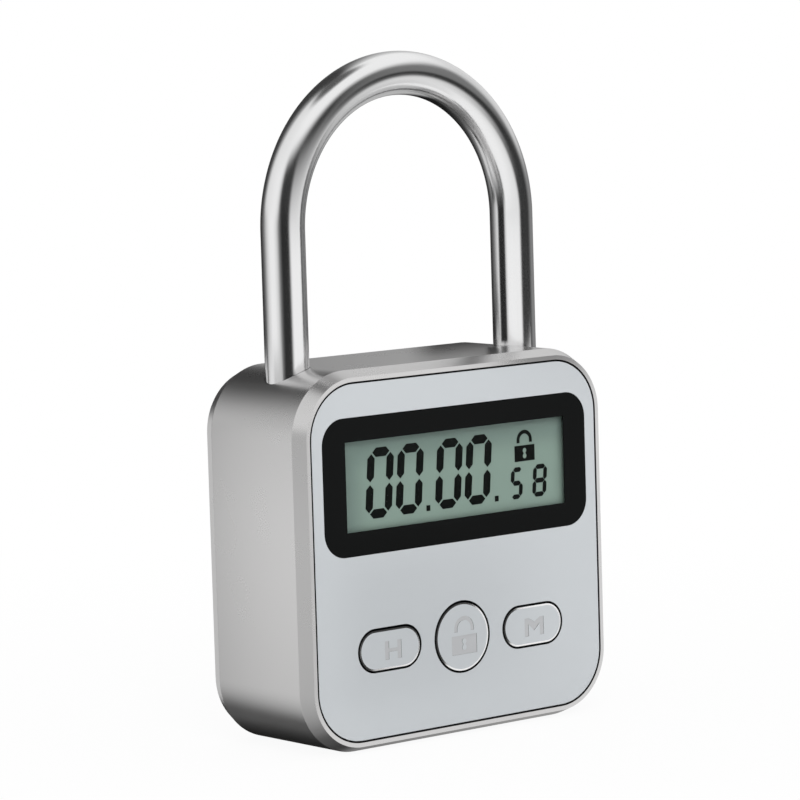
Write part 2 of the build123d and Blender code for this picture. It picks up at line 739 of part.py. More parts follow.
def latch_carrier():
    """The bracket: a plate before the bolt, an ear round its tail, a motor saddle, two wings."""
    plate_back_y = wing_front_y()
    plate_front_y = plate_back_y - CARRIER_PLATE_T
    saddle_half = MOTOR_D / 2 + CARRIER_SIDE
    left_x = PINION_X - saddle_half
    right_x = PINION_X + saddle_half
    saddle_top_z = GEARBOX_TOP_Z - SADDLE_PLAY
    saddle_low_z = saddle_top_z - SADDLE_L
    ear_top_z = BOLT_Z + BOLT_H / 2 + CARRIER_SIDE
    ear_low_z = BOLT_Z - BOLT_H / 2 - CARRIER_SIDE
    ear_back_y = BOLT_W / 2 + CARRIER_SIDE

    carrier = block(EAR_LEFT_X, right_x, plate_front_y, plate_back_y, saddle_low_z, ear_top_z)
    ear = block(
        EAR_LEFT_X, EAR_LEFT_X + CARRIER_EAR_T, plate_back_y, ear_back_y, ear_low_z, ear_top_z
    )
    ear -= block(
        EAR_LEFT_X - CUT,
        EAR_LEFT_X + CARRIER_EAR_T + CUT,
        -BOLT_W / 2 - BOLT_PLAY,
        BOLT_W / 2 + BOLT_PLAY,
        BOLT_Z - BOLT_H / 2 - BOLT_PLAY,
        BOLT_Z + BOLT_H / 2 + BOLT_PLAY,
    )
    saddle = block(left_x, right_x, plate_back_y, PINION_Y, saddle_low_z, saddle_top_z)
    saddle -= motor_square(MOTOR_D / 2 + SADDLE_PLAY, saddle_low_z - CUT, saddle_top_z + CUT)
    carrier += [ear, saddle]

    for wing_x, wing_z in carrier_screw_places():
        inner_x = left_x if wing_x < PINION_X else right_x
        outer_x = wing_x - WING_W / 2 if wing_x < PINION_X else wing_x + WING_W / 2
        wing = block(
            min(inner_x, outer_x),
            max(inner_x, outer_x),
            plate_back_y,
            plate_back_y + WING_T,
            wing_z - WING_H / 2,
            wing_z + WING_H / 2,
        )
        wing -= slab(screw_outline(wing_x, wing_z, SCREW_PLAY), plate_back_y - CUT, CUT)
        carrier += wing
    return carrier


def carrier_screws():
    """The two screws through the carrier's wings."""
    return Compound([screw(x, z, wing_front_y()).solid() for x, z in carrier_screw_places()])


def circuit_board():
    """The board, a little smaller than the bay, with its screw holes."""
    board = body_outline(RIM_WALL + LEDGE_W + BOARD_PLAY)
    for x, z in board_screw_places():
        board -= screw_outline(x, z, SCREW_PLAY)
    return slab(board, BOARD_FRONT_Y, BOARD_BACK_Y)


def board_screws():
    """The four screws that hold the board."""
    return Compound([screw(x, z, BOARD_FRONT_Y).solid() for x, z in board_screw_places()])


def component(x, z, width, height):
    """A rectangular component on the board's rear face."""
    return slab(Pos(x, z) * Rectangle(width, height), BOARD_BACK_Y, BOARD_BACK_Y + CHIP_T)


def controller_chip():
    """The square controller, on the battery's side of the board."""
    chip = component(-COMPONENT_X, COMPONENT_Z, CONTROLLER_W, CONTROLLER_W)
    return chamfer(chip.edges().group_by(Axis.Y)[-1], CHIP_EDGE)


def driver_chip():
    """The motor driver, on the motor's side of the board."""
    return component(COMPONENT_X, COMPONENT_Z, DRIVER_W, DRIVER_H)


def board_components():
    """The crystal, two capacitors and two connectors on the board's rear face."""
    crystal_z = COMPONENT_Z - CONTROLLER_W / 2 - COMPONENT_GAP - CRYSTAL_H / 2
    capacitor_z = COMPONENT_Z - DRIVER_H / 2 - COMPONENT_GAP - CAPACITOR_H / 2
    connector_z = COMPONENT_Z + CONTROLLER_W / 2 + COMPONENT_GAP + CONNECTOR_H / 2
    parts = [component(-COMPONENT_X, crystal_z, CRYSTAL_W, CRYSTAL_H)]
    for side in (-1, 1):
        capacitor_x = COMPONENT_X + side * CAPACITOR_W
        parts.append(component(capacitor_x, capacitor_z, CAPACITOR_W, CAPACITOR_H))
        parts.append(component(side * COMPONENT_X, connector_z, CONNECTOR_W, CONNECTOR_H))
    return Compound([part.solid() for part in parts])


def usb_receptacle():
    """The charging socket: a rounded metal tube, closed behind, with a tongue inside."""
    low_z = SOCKET_SETBACK
    high_z = low_z + SOCKET_L
    tube = extrude(Pos(0, 0, low_z) * port_outline(0), SOCKET_L)
    tube -= extrude(Pos(0, 0, low_z - CUT) * port_outline(-SOCKET_WALL), SOCKET_L + CUT - SOCKET_WALL)
    centre_y = BOARD_BACK_Y + SOCKET_H / 2
    tongue = block(
        -SOCKET_TONGUE_W / 2,
        SOCKET_TONGUE_W / 2,
        centre_y - SOCKET_TONGUE_T / 2,
        centre_y + SOCKET_TONGUE_T / 2,
        low_z + SOCKET_TONGUE_SETBACK,
        high_z - SOCKET_WALL,
    )
    return tube + tongue


def battery_edges():
    """The battery's left and right edges, between the bay's side and the motor."""
    left_x = BATTERY_SIDE_GAP - BAY_HALF_W
    right_x = PINION_X - MOTOR_D / 2 - BATTERY_MOTOR_GAP
    return left_x, right_x


def battery_cell():
    """The flat cell, fixed to the back wall by its tape."""
    left_x, right_x = battery_edges()
    back_y = BACK_INNER_Y - TAPE_T
    low_z = BAY_FLOOR_Z + BATTERY_FLOOR_GAP
    cell = block(left_x, right_x, back_y - BATTERY_T, back_y, low_z, low_z + BATTERY_H)
    return chamfer(cell.edges().filter_by(Axis.Z), BATTERY_EDGE)


def battery_tape():
    """The foam tape behind the cell."""
    left_x, right_x = battery_edges()
    low_z = BAY_FLOOR_Z + BATTERY_FLOOR_GAP + TAPE_MARGIN
    return block(
        left_x + TAPE_MARGIN,
        right_x - TAPE_MARGIN,
        BACK_INNER_Y - TAPE_T,
        BACK_INNER_Y,
        low_z,
        low_z + BATTERY_H - 2 * TAPE_MARGIN,
    )


os.makedirs("parts", exist_ok=True)

nodes = {
    "body_shell": body_shell(),
    "front_panel": front_panel(),
    "panel_gasket": panel_gasket(),
    "window_frame": window_frame(),
    "window_lens": window_lens(),
    "lcd_glass": lcd_glass(),
    "lcd_reflector": lcd_reflector(),
    "lcd_holder": lcd_holder(),
    "zebra_strips": zebra_strips(),
    "circuit_board": circuit_board(),
    "board_screws": board_screws(),
    "controller_chip": controller_chip(),
    "driver_chip": driver_chip(),
    "board_components": board_components(),
    "switch_bases": switch_bases(),
    "usb_receptacle": usb_receptacle(),
    "battery_cell": battery_cell(),
    "battery_tape": battery_tape(),
    "motor_can": motor_can(),
    "gearbox_case": gearbox_case(),
    "motor_pad": motor_pad(),
    "latch_carrier": latch_carrier(),
    "carrier_screws": carrier_screws(),
    "shackle_spring": shackle_spring(),
    "shackle": shackle(),
    "retaining_ring": retaining_ring(),
    "latch_bolt": latch_bolt(),
    "drive_pinion": drive_pinion(),
    "output_shaft": output_shaft(),
    "hour_button": side_key(-KEY_SPACING, hour_outline),
    "lock_button": lock_key(),
    "minute_button": side_key(KEY_SPACING, minute_outline),
    "hour_stem": switch_stem(-KEY_SPACING),
    "lock_stem": switch_stem(0),
    "minute_stem": switch_stem(KEY_SPACING),
}

for name, shape in nodes.items():
    export_step(shape, f"parts/{name}.step")
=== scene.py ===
import math

import bmesh
import bpy
from mathutils import Matrix, Vector


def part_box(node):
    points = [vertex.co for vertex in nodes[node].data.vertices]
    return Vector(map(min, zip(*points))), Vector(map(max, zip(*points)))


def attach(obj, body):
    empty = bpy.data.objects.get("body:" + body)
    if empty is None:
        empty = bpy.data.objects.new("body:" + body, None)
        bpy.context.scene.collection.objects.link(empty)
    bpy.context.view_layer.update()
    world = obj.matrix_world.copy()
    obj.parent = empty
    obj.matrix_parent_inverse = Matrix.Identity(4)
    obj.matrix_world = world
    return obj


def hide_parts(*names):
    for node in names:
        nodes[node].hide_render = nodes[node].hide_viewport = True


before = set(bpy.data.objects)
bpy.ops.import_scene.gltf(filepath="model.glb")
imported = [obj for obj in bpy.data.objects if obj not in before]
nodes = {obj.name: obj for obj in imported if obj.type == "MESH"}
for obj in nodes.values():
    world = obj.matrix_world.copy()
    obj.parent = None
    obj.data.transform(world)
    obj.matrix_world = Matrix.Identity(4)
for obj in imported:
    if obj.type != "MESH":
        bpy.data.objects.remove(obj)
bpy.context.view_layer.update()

# The viewpoint: well off to the padlock's left and a little above its middle, through a
# long lens, so that its upright edges stay nearly parallel.
VIEWPOINT = (-0.3976, -0.4759, 0.11485)
VIEW_TURN, VIEW_FALL, VIEW_LEAN = -39.81, 5.926, -1.707
FOCAL_LENGTH, FRAME_WIDTH, SIGHT = 183.15, 36.0, 20.0
lens = bpy.data.cameras.new("viewpoint")
lens.lens = FOCAL_LENGTH
lens.sensor_width = FRAME_WIDTH
lens.clip_end = SIGHT
camera = bpy.data.objects.new("viewpoint", lens)
turn_to_object = Matrix.Rotation(math.radians(VIEW_TURN), 4, "Z")
tilt_down = Matrix.Rotation(math.radians(90.0 - VIEW_FALL), 4, "X")
lean = Matrix.Rotation(math.radians(VIEW_LEAN), 4, "Z")
camera.matrix_world = Matrix.Translation(VIEWPOINT) @ turn_to_object @ tilt_down @ lean
bpy.context.scene.collection.objects.link(camera)
bpy.context.scene.camera = camera
bpy.context.scene.view_settings.view_transform = "Standard"


# The body: a thick zinc casting with bevelled front and back edges, open in front to take
# all the rest. It is shot-blasted, which softens its edges, and then plated with satin nickel.
class Signal:
    """The output of a node, so that maths on it can be written as sums."""

    def __init__(self, graph, socket):
        self.graph = graph
        self.socket = socket

    def output(self, name):
        """Another output of the same node."""
        return Signal(self.graph, self.socket.node.outputs[name])

    def __add__(self, other):
        return self.graph.maths("ADD", self, other)

    def __sub__(self, other):
        return self.graph.maths("SUBTRACT", self, other)

    def __mul__(self, other):
        return self.graph.maths("MULTIPLY", self, other)

    def __truediv__(self, other):
        return self.graph.maths("DIVIDE", self, other)

    def __rsub__(self, other):
        return self.graph.maths("SUBTRACT", other, self)

    __radd__ = __add__
    __rmul__ = __mul__


class Graph:
    """A node tree that is filled call by call."""

    def __init__(self, tree):
        self.tree = tree

    def node(self, kind, settings=None, inputs=None, output=0):
        """Adds a node: its settings first, then the values or links of its sockets."""
        node = self.tree.nodes.new(kind)
        for name, value in (settings or {}).items():
            if name == "stops":
                set_stops(node.color_ramp, value)
            else:
                setattr(node, name, value)
        for name, value in (inputs or {}).items():
            if isinstance(value, Signal):
                self.tree.links.new(value.socket, node.inputs[name])
            else:
                node.inputs[name].default_value = value
        return Signal(self, node.outputs[output]) if len(node.outputs) else node

    def maths(self, operation, *terms):
        """A Math node on signals and numbers."""
        return self.node("ShaderNodeMath", {"operation": operation}, dict(enumerate(terms)))


def set_stops(ramp, stops):
    """Sets a ramp's greys from its first place to its last."""
    first, *middle, last = stops
    ends = [(ramp.elements[0], first), (ramp.elements[-1], last)]
    for element, (place, grey) in ends:
        element.position = place
        element.color = (grey, grey, grey, 1.0)
    for place, grey in middle:
        ramp.elements.new(place).color = (grey, grey, grey, 1.0)


class Finish(Graph):
    """A surface finish, made in a material's or the world's node tree."""

    def __init__(self, owner):
        owner.use_nodes = True
        super().__init__(owner.node_tree)
        self.owner = owner
        self.tree.nodes.clear()

    def place(self):
        """A point's place on the padlock, in metres."""
        return self.node("ShaderNodeTexCoord", output="Object")

    def axes(self, where=None):
        """A place's three coordinates."""
        split = self.node("ShaderNodeSeparateXYZ", None, {0: where or self.place()})
        return split.output("X"), split.output("Y"), split.output("Z")

    def noise(self, scale, detail=2.0, where=None):
        """Cloudy noise from 0 to 1 with so many patches to the metre."""
        inputs = {"Vector": where or self.place(), "Scale": scale, "Detail": detail}
        return self.node("ShaderNodeTexNoise", {"noise_dimensions": "3D"}, inputs)

    def stretched(self, scale_x, scale_y, scale_z):
        """The place, stretched so that noise on it draws out along one direction."""
        inputs = {"Vector": self.place(), "Scale": (scale_x, scale_y, scale_z)}
        return self.node("ShaderNodeMapping", {"vector_type": "POINT"}, inputs)

    def between(self, amount, low, high):
        """A number that goes from low to high as amount goes from 0 to 1."""
        inputs = {"Value": amount, "To Min": low, "To Max": high}
        return self.node("ShaderNodeMapRange", {"clamp": True}, inputs)

    def fade(self, amount, start, end):
        """A soft step from 0 at start to 1 at end."""
        inputs = {"Value": amount, "From Min": start, "From Max": end}
        return self.node("ShaderNodeMapRange", {"interpolation_type": "SMOOTHSTEP"}, inputs)

    def blend(self, amount, first, second):
        """A colour mixed from two by amount."""
        first = first if isinstance(first, Signal) else (*first, 1.0)
        second = second if isinstance(second, Signal) else (*second, 1.0)
        inputs = {0: amount, 6: first, 7: second}
        return self.node("ShaderNodeMix", {"data_type": "RGBA"}, inputs, output=2)

    def relief(self, height, depth):
        """A bump from a height that goes from 0 to 1, so many metres deep."""
        return self.node("ShaderNodeBump", None, {"Height": height, "Distance": depth, "Strength": 1.0})

    def surface(self, **sockets):
        """The main shader, wired to the output."""
        inputs = {name.replace("_", " "): value for name, value in sockets.items()}
        shader = self.node("ShaderNodeBsdfPrincipled", None, inputs)
        self.node("ShaderNodeOutputMaterial", None, {"Surface": shader})
        return self.owner


def finish_named(name):
    return Finish(bpy.data.materials.new(name))


def placed(name, mesh):
    """A new object at the origin that holds a mesh."""
    piece = bpy.data.objects.new(name, mesh)
    bpy.context.scene.collection.objects.link(piece)
    return piece


def plain_mesh(piece):
    """The piece with its modifiers made part of its mesh."""
    bpy.context.view_layer.update()
    depsgraph = bpy.context.evaluated_depsgraph_get()
    mesh = bpy.data.meshes.new_from_object(piece.evaluated_get(depsgraph))
    piece.modifiers.clear()
    piece.data = mesh
    return piece


def copy_of(node, name):
    """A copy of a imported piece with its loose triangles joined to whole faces."""
    mesh = nodes[node].data.copy()
    made = bmesh.new()
    made.from_mesh(mesh)
    bmesh.ops.remove_doubles(made, verts=made.verts, dist=SAME_POINT)
    bmesh.ops.dissolve_limit(made, angle_limit=SAME_PLANE, verts=made.verts, edges=made.edges)
    made.to_mesh(mesh)
    made.free()
    if mesh.has_custom_normals:
        mesh.attributes.remove(mesh.attributes["custom_normal"])
    return placed(name, mesh)


def creased(made, angle):
    """Smooths a mesh's shading and gives back the edges that stay sharp."""
    for face in made.faces:
        face.smooth = True
    for edge in made.edges:
        edge.smooth = len(edge.link_faces) == 2 and edge.calc_face_angle() < angle
    return [edge for edge in made.edges if not edge.smooth]


def soften(piece, radius, is_soft):
    """Rounds over the sharp edges that is_soft picks."""
    made = bmesh.new()
    made.from_mesh(piece.data)
    weights = made.edges.layers.float.new("bevel_weight_edge")
    for edge in creased(made, CREASE_ANGLE):
        edge[weights] = 1.0 if is_soft(edge) else 0.0
    made.to_mesh(piece.data)
    made.free()
    rounding = piece.modifiers.new("rounding", "BEVEL")
    rounding.limit_method = "WEIGHT"
    rounding.width = radius
    rounding.segments = ROUNDING_STEPS
    rounding.use_clamp_overlap = False
    rounding.harden_normals = True
    return plain_mesh(piece)


def dress(piece, materials, pick=None):
    """Gives a piece its materials; pick names the one that each face gets."""
    piece.data.materials.clear()
    for material in materials:
        piece.data.materials.append(material)
    for face in piece.data.polygons:
        face.material_index = pick(face) if pick else 0


def takes_over(piece, node, body_name):
    """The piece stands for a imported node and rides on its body."""
    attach(piece, body_name)
    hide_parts(node)


def on_outside(edge):
    """Whether an edge of the body is where its sides meet the bevels, the top or the foot."""
    ends = [vert.co for vert in edge.verts]
    on_bevel = all(abs(abs(end.y) - BEVEL_Y) < TOUCH for end in ends)
    on_top = all(abs(end.z - body_high.z) < TOUCH for end in ends)
    on_foot = all(abs(end.z - body_low.z) < TOUCH for end in ends)
    return on_bevel or on_top or on_foot


body_low, body_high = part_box("body_shell")
CREASE_ANGLE = math.radians(15.0)
SAME_POINT, SAME_PLANE = 1e-6, math.radians(0.05)
TOUCH = 2e-5
BEVEL_DEPTH = 0.0023
BEVEL_Y = body_high.y - BEVEL_DEPTH
CASTING_EDGE_R = 0.00006
ROUNDING_STEPS = 2

casting = finish_named("satin_nickel")
blasting = casting.noise(5200.0, 3.0)
patches = casting.noise(85.0, 3.0)
grey = casting.blend(casting.between(patches, 0.2, 0.8), (0.61, 0.605, 0.603), (0.655, 0.65, 0.648))
casting.surface(
    Base_Color=grey,
    Metallic=1.0,
    Roughness=casting.between(patches * 0.8 + blasting * 0.2, 0.25, 0.31),
    Normal=casting.relief(blasting, 0.000004),
)
body = soften(copy_of("body_shell", "body_casting"), CASTING_EDGE_R, on_outside)
dress(body, [casting.owner])
takes_over(body, "body_shell", "body")

# The shackle: a hardened steel bar bent to a U, ground, polished and chromium plated. Its
# long leg stays in the body, and its short leg has the notch that the bolt enters.
class Recipe(Graph):
    """A geometry node tree with named inputs, which ends in real geometry with its material."""

    def __init__(self, name, **inputs):
        super().__init__(bpy.data.node_groups.new(name, "GeometryNodeTree"))
        sockets = self.tree.interface
        sockets.new_socket("Geometry", in_out="INPUT", socket_type="NodeSocketGeometry")
        for label, kind in {**inputs, "Material": "Material"}.items():
            sockets.new_socket(label.replace("_", " "), in_out="INPUT", socket_type="NodeSocket" + kind)
        sockets.new_socket("Geometry", in_out="OUTPUT", socket_type="NodeSocketGeometry")
        self.geometry = self.node("NodeGroupInput")

    def given(self, label):
        """The value given to a named input."""
        return self.geometry.output(label)

    def ends_in(self, geometry):
        """Ends the recipe in this geometry, made real and given its material."""
        real = self.node("GeometryNodeRealizeInstances", None, {"Geometry": geometry})
        inputs = {"Geometry": real, "Material": self.given("Material")}
        finished = self.node("GeometryNodeSetMaterial", None, inputs)
        self.node("NodeGroupOutput", None, {"Geometry": finished})

    def made_on(self, piece, **values):
        """Runs the recipe on a piece and keeps what it makes as the piece's mesh."""
        modifier = piece.modifiers.new(self.tree.name, "NODES")
        modifier.node_group = self.tree
        sockets = [item for item in self.tree.interface.items_tree if item.in_out == "INPUT"]
        identifiers = {socket.name: socket.identifier for socket in sockets}
        for label, value in values.items():
            modifier[identifiers[label.replace("_", " ")]] = value
        return plain_mesh(piece)


def closed(piece, angle=CREASE_ANGLE):
    """Joins a made mesh's seams, turns its faces outwards and smooths its shading."""
    made = bmesh.new()
    made.from_mesh(piece.data)
    bmesh.ops.remove_doubles(made, verts=made.verts, dist=SEAM_GAP)
    bmesh.ops.recalc_face_normals(made, faces=made.faces)
    creased(made, angle)
    made.to_mesh(piece.data)
    made.free()
    return piece


def bar_stations():
    """Places along the bar's middle, each with its girth there as a share of the full bar."""
    groove = RING_GROOVE_R / BAR_R
    stations = [(-LEG_X, LONG_END, 1.0), (-LEG_X, GROOVE_LOW, 1.0)]
    stations.append((-LEG_X, GROOVE_LOW + GROOVE_WALL, groove))
    stations.append((-LEG_X, GROOVE_HIGH - GROOVE_WALL, groove))
    stations.append((-LEG_X, GROOVE_HIGH, 1.0))
    for step in range(ARCH_STEPS + 1):
        turn = math.pi * step / ARCH_STEPS
        stations.append((-LEG_X * math.cos(turn), ARCH_LEVEL + LEG_X * math.sin(turn), 1.0))
    stations += [(LEG_X, TOE_END + TOE_CHAMFER, 1.0), (LEG_X, TOE_END, 1.0 - TOE_CHAMFER / BAR_R)]
    return stations


bar_low, bar_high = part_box("shackle")
BAR_R = (bar_high.y - bar_low.y) / 2
LEG_X = bar_high.x - BAR_R
ARCH_LEVEL = bar_high.z - BAR_R - LEG_X
LONG_END = bar_low.z
SEAM_GAP = 1e-7
GROOVE_LOW, GROOVE_HIGH, GROOVE_WALL = 0.0196, 0.0204, 0.000001
RING_GROOVE_R = 0.0025
TOE_END, TOE_CHAMFER = 0.04375, 0.0005
NOTCH_LEVEL, NOTCH_HEIGHT, NOTCH_FACE_X = 0.04775, 0.0036, 0.02187
ARCH_STEPS, BAR_SIDES = 128, 72
POLISH_DRAWN_OUT = 0.02

polished = finish_named("polished_steel")
across, deep, high = polished.axes()
above = polished.maths("MAXIMUM", high - ARCH_LEVEL, 0.0)
from_middle = polished.maths("SQRT", across * across + above * above) - LEG_X
turn = polished.maths("ARCTAN2", above, 0.0 - across)
along = turn * LEG_X + polished.maths("MINIMUM", high - ARCH_LEVEL, 0.0)
drawn_out = {0: from_middle, 1: deep, 2: along * POLISH_DRAWN_OUT}
bar_place = polished.node("ShaderNodeCombineXYZ", None, drawn_out)
lines = polished.noise(1400.0, 3.0, bar_place)
smears = polished.noise(120.0, 2.0)
polished.surface(
    Base_Color=polished.blend(lines, (0.80, 0.80, 0.80), (0.85, 0.85, 0.855)),
    Metallic=1.0,
    Roughness=polished.between(lines * 0.4 + smears * 0.6, 0.13, 0.2),
    Normal=polished.relief(lines, 0.000002),
)

sweep = Recipe(
    "swept_bar",
    Bar_Radius="Float",
    Bar_Sides="Int",
    Notch_Place="Vector",
    Notch_Size="Vector",
)
spine = sweep.node("GeometryNodeMeshToCurve", None, {"Mesh": sweep.geometry})
section = sweep.node("GeometryNodeCurvePrimitiveCircle", {"mode": "RADIUS"}, {
    "Resolution": sweep.given("Bar Sides"),
    "Radius": sweep.given("Bar Radius"),
})
girth = sweep.node("GeometryNodeInputNamedAttribute", {"data_type": "FLOAT"}, {"Name": "girth"})
bar = sweep.node("GeometryNodeCurveToMesh", None, {
    "Curve": spine,
    "Profile Curve": section,
    "Scale": girth,
    "Fill Caps": True,
})
cutter = sweep.node("GeometryNodeTransform", None, {
    "Geometry": sweep.node("GeometryNodeMeshCube", None, {"Size": sweep.given("Notch Size")}),
    "Translation": sweep.given("Notch Place"),
})
notched = sweep.node("GeometryNodeMeshBoolean", {"operation": "DIFFERENCE", "solver": "EXACT"}, {
    "Mesh 1": bar,
    "Mesh 2": cutter,
})
sweep.ends_in(notched)

stations = bar_stations()
spine_mesh = bpy.data.meshes.new("shackle_bar")
spine_mesh.from_pydata(
    [(x, 0.0, z) for x, z, share in stations],
    [(index, index + 1) for index in range(len(stations) - 1)],
    [],
)
shares = spine_mesh.attributes.new("girth", "FLOAT", "POINT")
shares.data.foreach_set("value", [share for x, z, share in stations])
shackle = sweep.made_on(
    placed("shackle_bar", spine_mesh),
    Bar_Radius=BAR_R,
    Bar_Sides=BAR_SIDES,
    Notch_Place=(NOTCH_FACE_X - BAR_R, 0.0, NOTCH_LEVEL),
    Notch_Size=(2 * BAR_R, 4 * BAR_R, NOTCH_HEIGHT),
    Material=polished.owner,
)
closed(shackle)
dress(shackle, [polished.owner])
takes_over(shackle, "shackle", "shackle")


# The spring under the long leg, a coil of square wire that lifts the shackle, and the open
# ring clipped into that leg's groove, which stops the lift. Both are dark spring steel.
def coat(node, material):
    """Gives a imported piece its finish."""
    for material_slot in nodes[node].material_slots:
        material_slot.material = material


spring_steel = finish_named("spring_steel")
drawn = spring_steel.noise(2500.0, 3.0)
spring_steel.surface(
    Base_Color=spring_steel.blend(drawn, (0.30, 0.30, 0.31), (0.42, 0.42, 0.43)),
    Metallic=1.0,
    Roughness=spring_steel.between(drawn, 0.3, 0.45),
)
for node in ("shackle_spring", "retaining_ring"):
    coat(node, spring_steel.owner)

# The bolt that enters the short leg's notch, with a rack cut in its rear face, and the
# gearbox's shaft with its flat. Both are steel, milled from bar and left bright.
milled = finish_named("milled_steel")
cuts = milled.noise(4000.0, 2.0, milled.stretched(0.05, 1.0, 1.0))
milled.surface(
    Base_Color=milled.blend(cuts, (0.46, 0.46, 0.47), (0.6, 0.6, 0.61)),
    Metallic=1.0,
    Roughness=milled.between(cuts, 0.25, 0.42),
    Normal=milled.relief(cuts, 0.000004),
)
for node in ("latch_bolt", "output_shaft"):
    coat(node, milled.owner)

# The pinion that drives the rack, pushed onto the shaft's flat, and the gearbox's square
# case. Both are brass, the pinion hobbed and the case milled.
brass = finish_named("brass")
turning = brass.noise(3500.0, 2.0, brass.stretched(1.0, 1.0, 0.2))
brass.surface(
    Base_Color=brass.blend(turning, (0.66, 0.48, 0.2), (0.78, 0.6, 0.3)),
    Metallic=1.0,
    Roughness=brass.between(turning, 0.25, 0.4),
)
for node in ("drive_pinion", "gearbox_case"):
    coat(node, brass.owner)

# The motor's can, drawn from steel sheet and crimped to the gearbox, with its two flat
# terminals at the end.
can_steel = finish_named("motor_steel")
draw_marks = can_steel.noise(3000.0, 2.0, can_steel.stretched(1.0, 1.0, 0.04))
can_steel.surface(
    Base_Color=can_steel.blend(draw_marks, (0.5, 0.5, 0.5), (0.62, 0.62, 0.62)),
    Metallic=1.0,
    Roughness=can_steel.between(draw_marks, 0.22, 0.38),
)
coat("motor_can", can_steel.owner)

# The sponge rubber pad between the gear motor and the back wall, and the foam tape that
# holds the cell. Both are cut from black closed-cell sheet.
foam = finish_named("foam")
cells = foam.noise(2600.0, 4.0)
foam.surface(
    Base_Color=foam.blend(cells, (0.035, 0.035, 0.037), (0.075, 0.075, 0.078)),
    Roughness=0.9,
    Normal=foam.relief(cells, 0.0001),
)
for node in ("motor_pad", "battery_tape"):
    coat(node, foam.owner)

# The bracket that guides the bolt and saddles the motor, moulded in glass-filled nylon and
# screwed to the body by its two wings.
nylon = finish_named("filled_nylon")
fibres = nylon.noise(2200.0, 5.0, nylon.stretched(1.0, 0.3, 1.0))
nylon.surface(
    Base_Color=nylon.blend(fibres, (0.016, 0.016, 0.018), (0.045, 0.045, 0.048)),
    Roughness=nylon.between(fibres, 0.42, 0.6),
    Normal=nylon.relief(fibres, 0.00002),
)
coat("latch_carrier", nylon.owner)

# The flat lithium cell, in a pouch of aluminium foil that is sealed round its edge and
# taped to the back wall.
foil = finish_named("foil_pouch")
creases = foil.noise(420.0, 4.0)
foil.surface(
    Base_Color=foil.blend(creases, (0.6, 0.61, 0.63), (0.72, 0.73, 0.75)),
    Metallic=0.9,
    Roughness=foil.between(creases, 0.25, 0.45),
    Normal=foil.relief(creases, 0.00015),
)
coat("battery_cell", foil.owner)

# The circuit board, a little smaller than its bay: glass-fibre laminate under green solder
# mask, with the weave just showing.
laminate = finish_named("circuit_board")
weave = laminate.noise(1500.0, 1.0, laminate.stretched(1.0, 1.0, 0.25))
laminate.surface(
    Base_Color=laminate.blend(weave, (0.012, 0.085, 0.035), (0.02, 0.125, 0.055)),
    Roughness=laminate.between(weave, 0.28, 0.42),
    Coat_Weight=0.3,
)
coat("circuit_board", laminate.owner)

# The controller and the motor driver, moulded in black epoxy, and the small parts beside
# them: a crystal, two capacitors and two connectors, soldered to the board's rear face.
epoxy = finish_named("chip_epoxy")
filler = epoxy.noise(6000.0, 3.0)
epoxy.surface(
    Base_Color=epoxy.blend(filler, (0.012, 0.012, 0.013), (0.03, 0.03, 0.031)),
    Roughness=epoxy.between(filler, 0.45, 0.62),
    Normal=epoxy.relief(filler, 0.000008),
)
for node in ("controller_chip", "driver_chip"):
    coat(node, epoxy.owner)

ceramic = finish_named("small_parts")
speckle = ceramic.noise(4000.0, 2.0)
ceramic.surface(
    Base_Color=ceramic.blend(speckle, (0.42, 0.41, 0.39), (0.56, 0.55, 0.52)),
    Roughness=ceramic.between(speckle, 0.4, 0.6),
)
coat("board_components", ceramic.owner)

# The screws: turned steel, zinc plated. Four hold the board and two hold the bolt's
# bracket, all driven from the front.
zinc = finish_named("zinc_plate")
dulling = zinc.noise(1800.0, 2.0)
zinc.surface(
    Base_Color=zinc.blend(dulling, (0.5, 0.51, 0.53), (0.66, 0.67, 0.69)),
    Metallic=1.0,
    Roughness=zinc.between(dulling, 0.22, 0.4),
)
for node in ("board_screws", "carrier_screws"):
    coat(node, zinc.owner)

# The tact switches behind the keys: bases moulded in black nylon and soldered to the board,
# each with a square stem that its key pushes.
switch_black = finish_named("switch_black")
moulding = switch_black.noise(5000.0, 2.0)
switch_black.surface(
    Base_Color=switch_black.blend(moulding, (0.018, 0.018, 0.018), (0.032, 0.032, 0.033)),
    Roughness=switch_black.between(moulding, 0.4, 0.52),
)
for node in ("switch_bases", "hour_stem", "lock_stem", "minute_stem"):
    coat(node, switch_black.owner)

# The charging socket: a rounded steel tube, folded from sheet and plated, with a tongue
# inside. It is soldered to the board and opens in the underside.
plated = finish_named("plated_socket")
plating = plated.noise(2400.0, 2.0)
plated.surface(
    Base_Color=plated.blend(plating, (0.62, 0.62, 0.63), (0.72, 0.72, 0.73)),
    Metallic=1.0,
    Roughness=plated.between(plating, 0.16, 0.28),
)
coat("usb_receptacle", plated.owner)

# Behind the glass: a white moulded tray, a thin reflector that sends light back through
# the display, and two striped rubber strips that carry its signals from the board.
tray_white = finish_named("white_moulding")
sheen = tray_white.noise(3000.0, 2.0)
tray_white.surface(
    Base_Color=tray_white.blend(sheen, (0.74, 0.74, 0.72), (0.82, 0.82, 0.8)),
    Roughness=tray_white.between(sheen, 0.42, 0.55),
)
coat("lcd_holder", tray_white.owner)

film = finish_named("reflector_film")
ripple = film.noise(900.0, 2.0)
film.surface(
    Base_Color=film.blend(ripple, (0.7, 0.72, 0.7), (0.8, 0.82, 0.8)),
    Metallic=0.6,
    Roughness=film.between(ripple, 0.3, 0.45),
)
coat("lcd_reflector", film.owner)

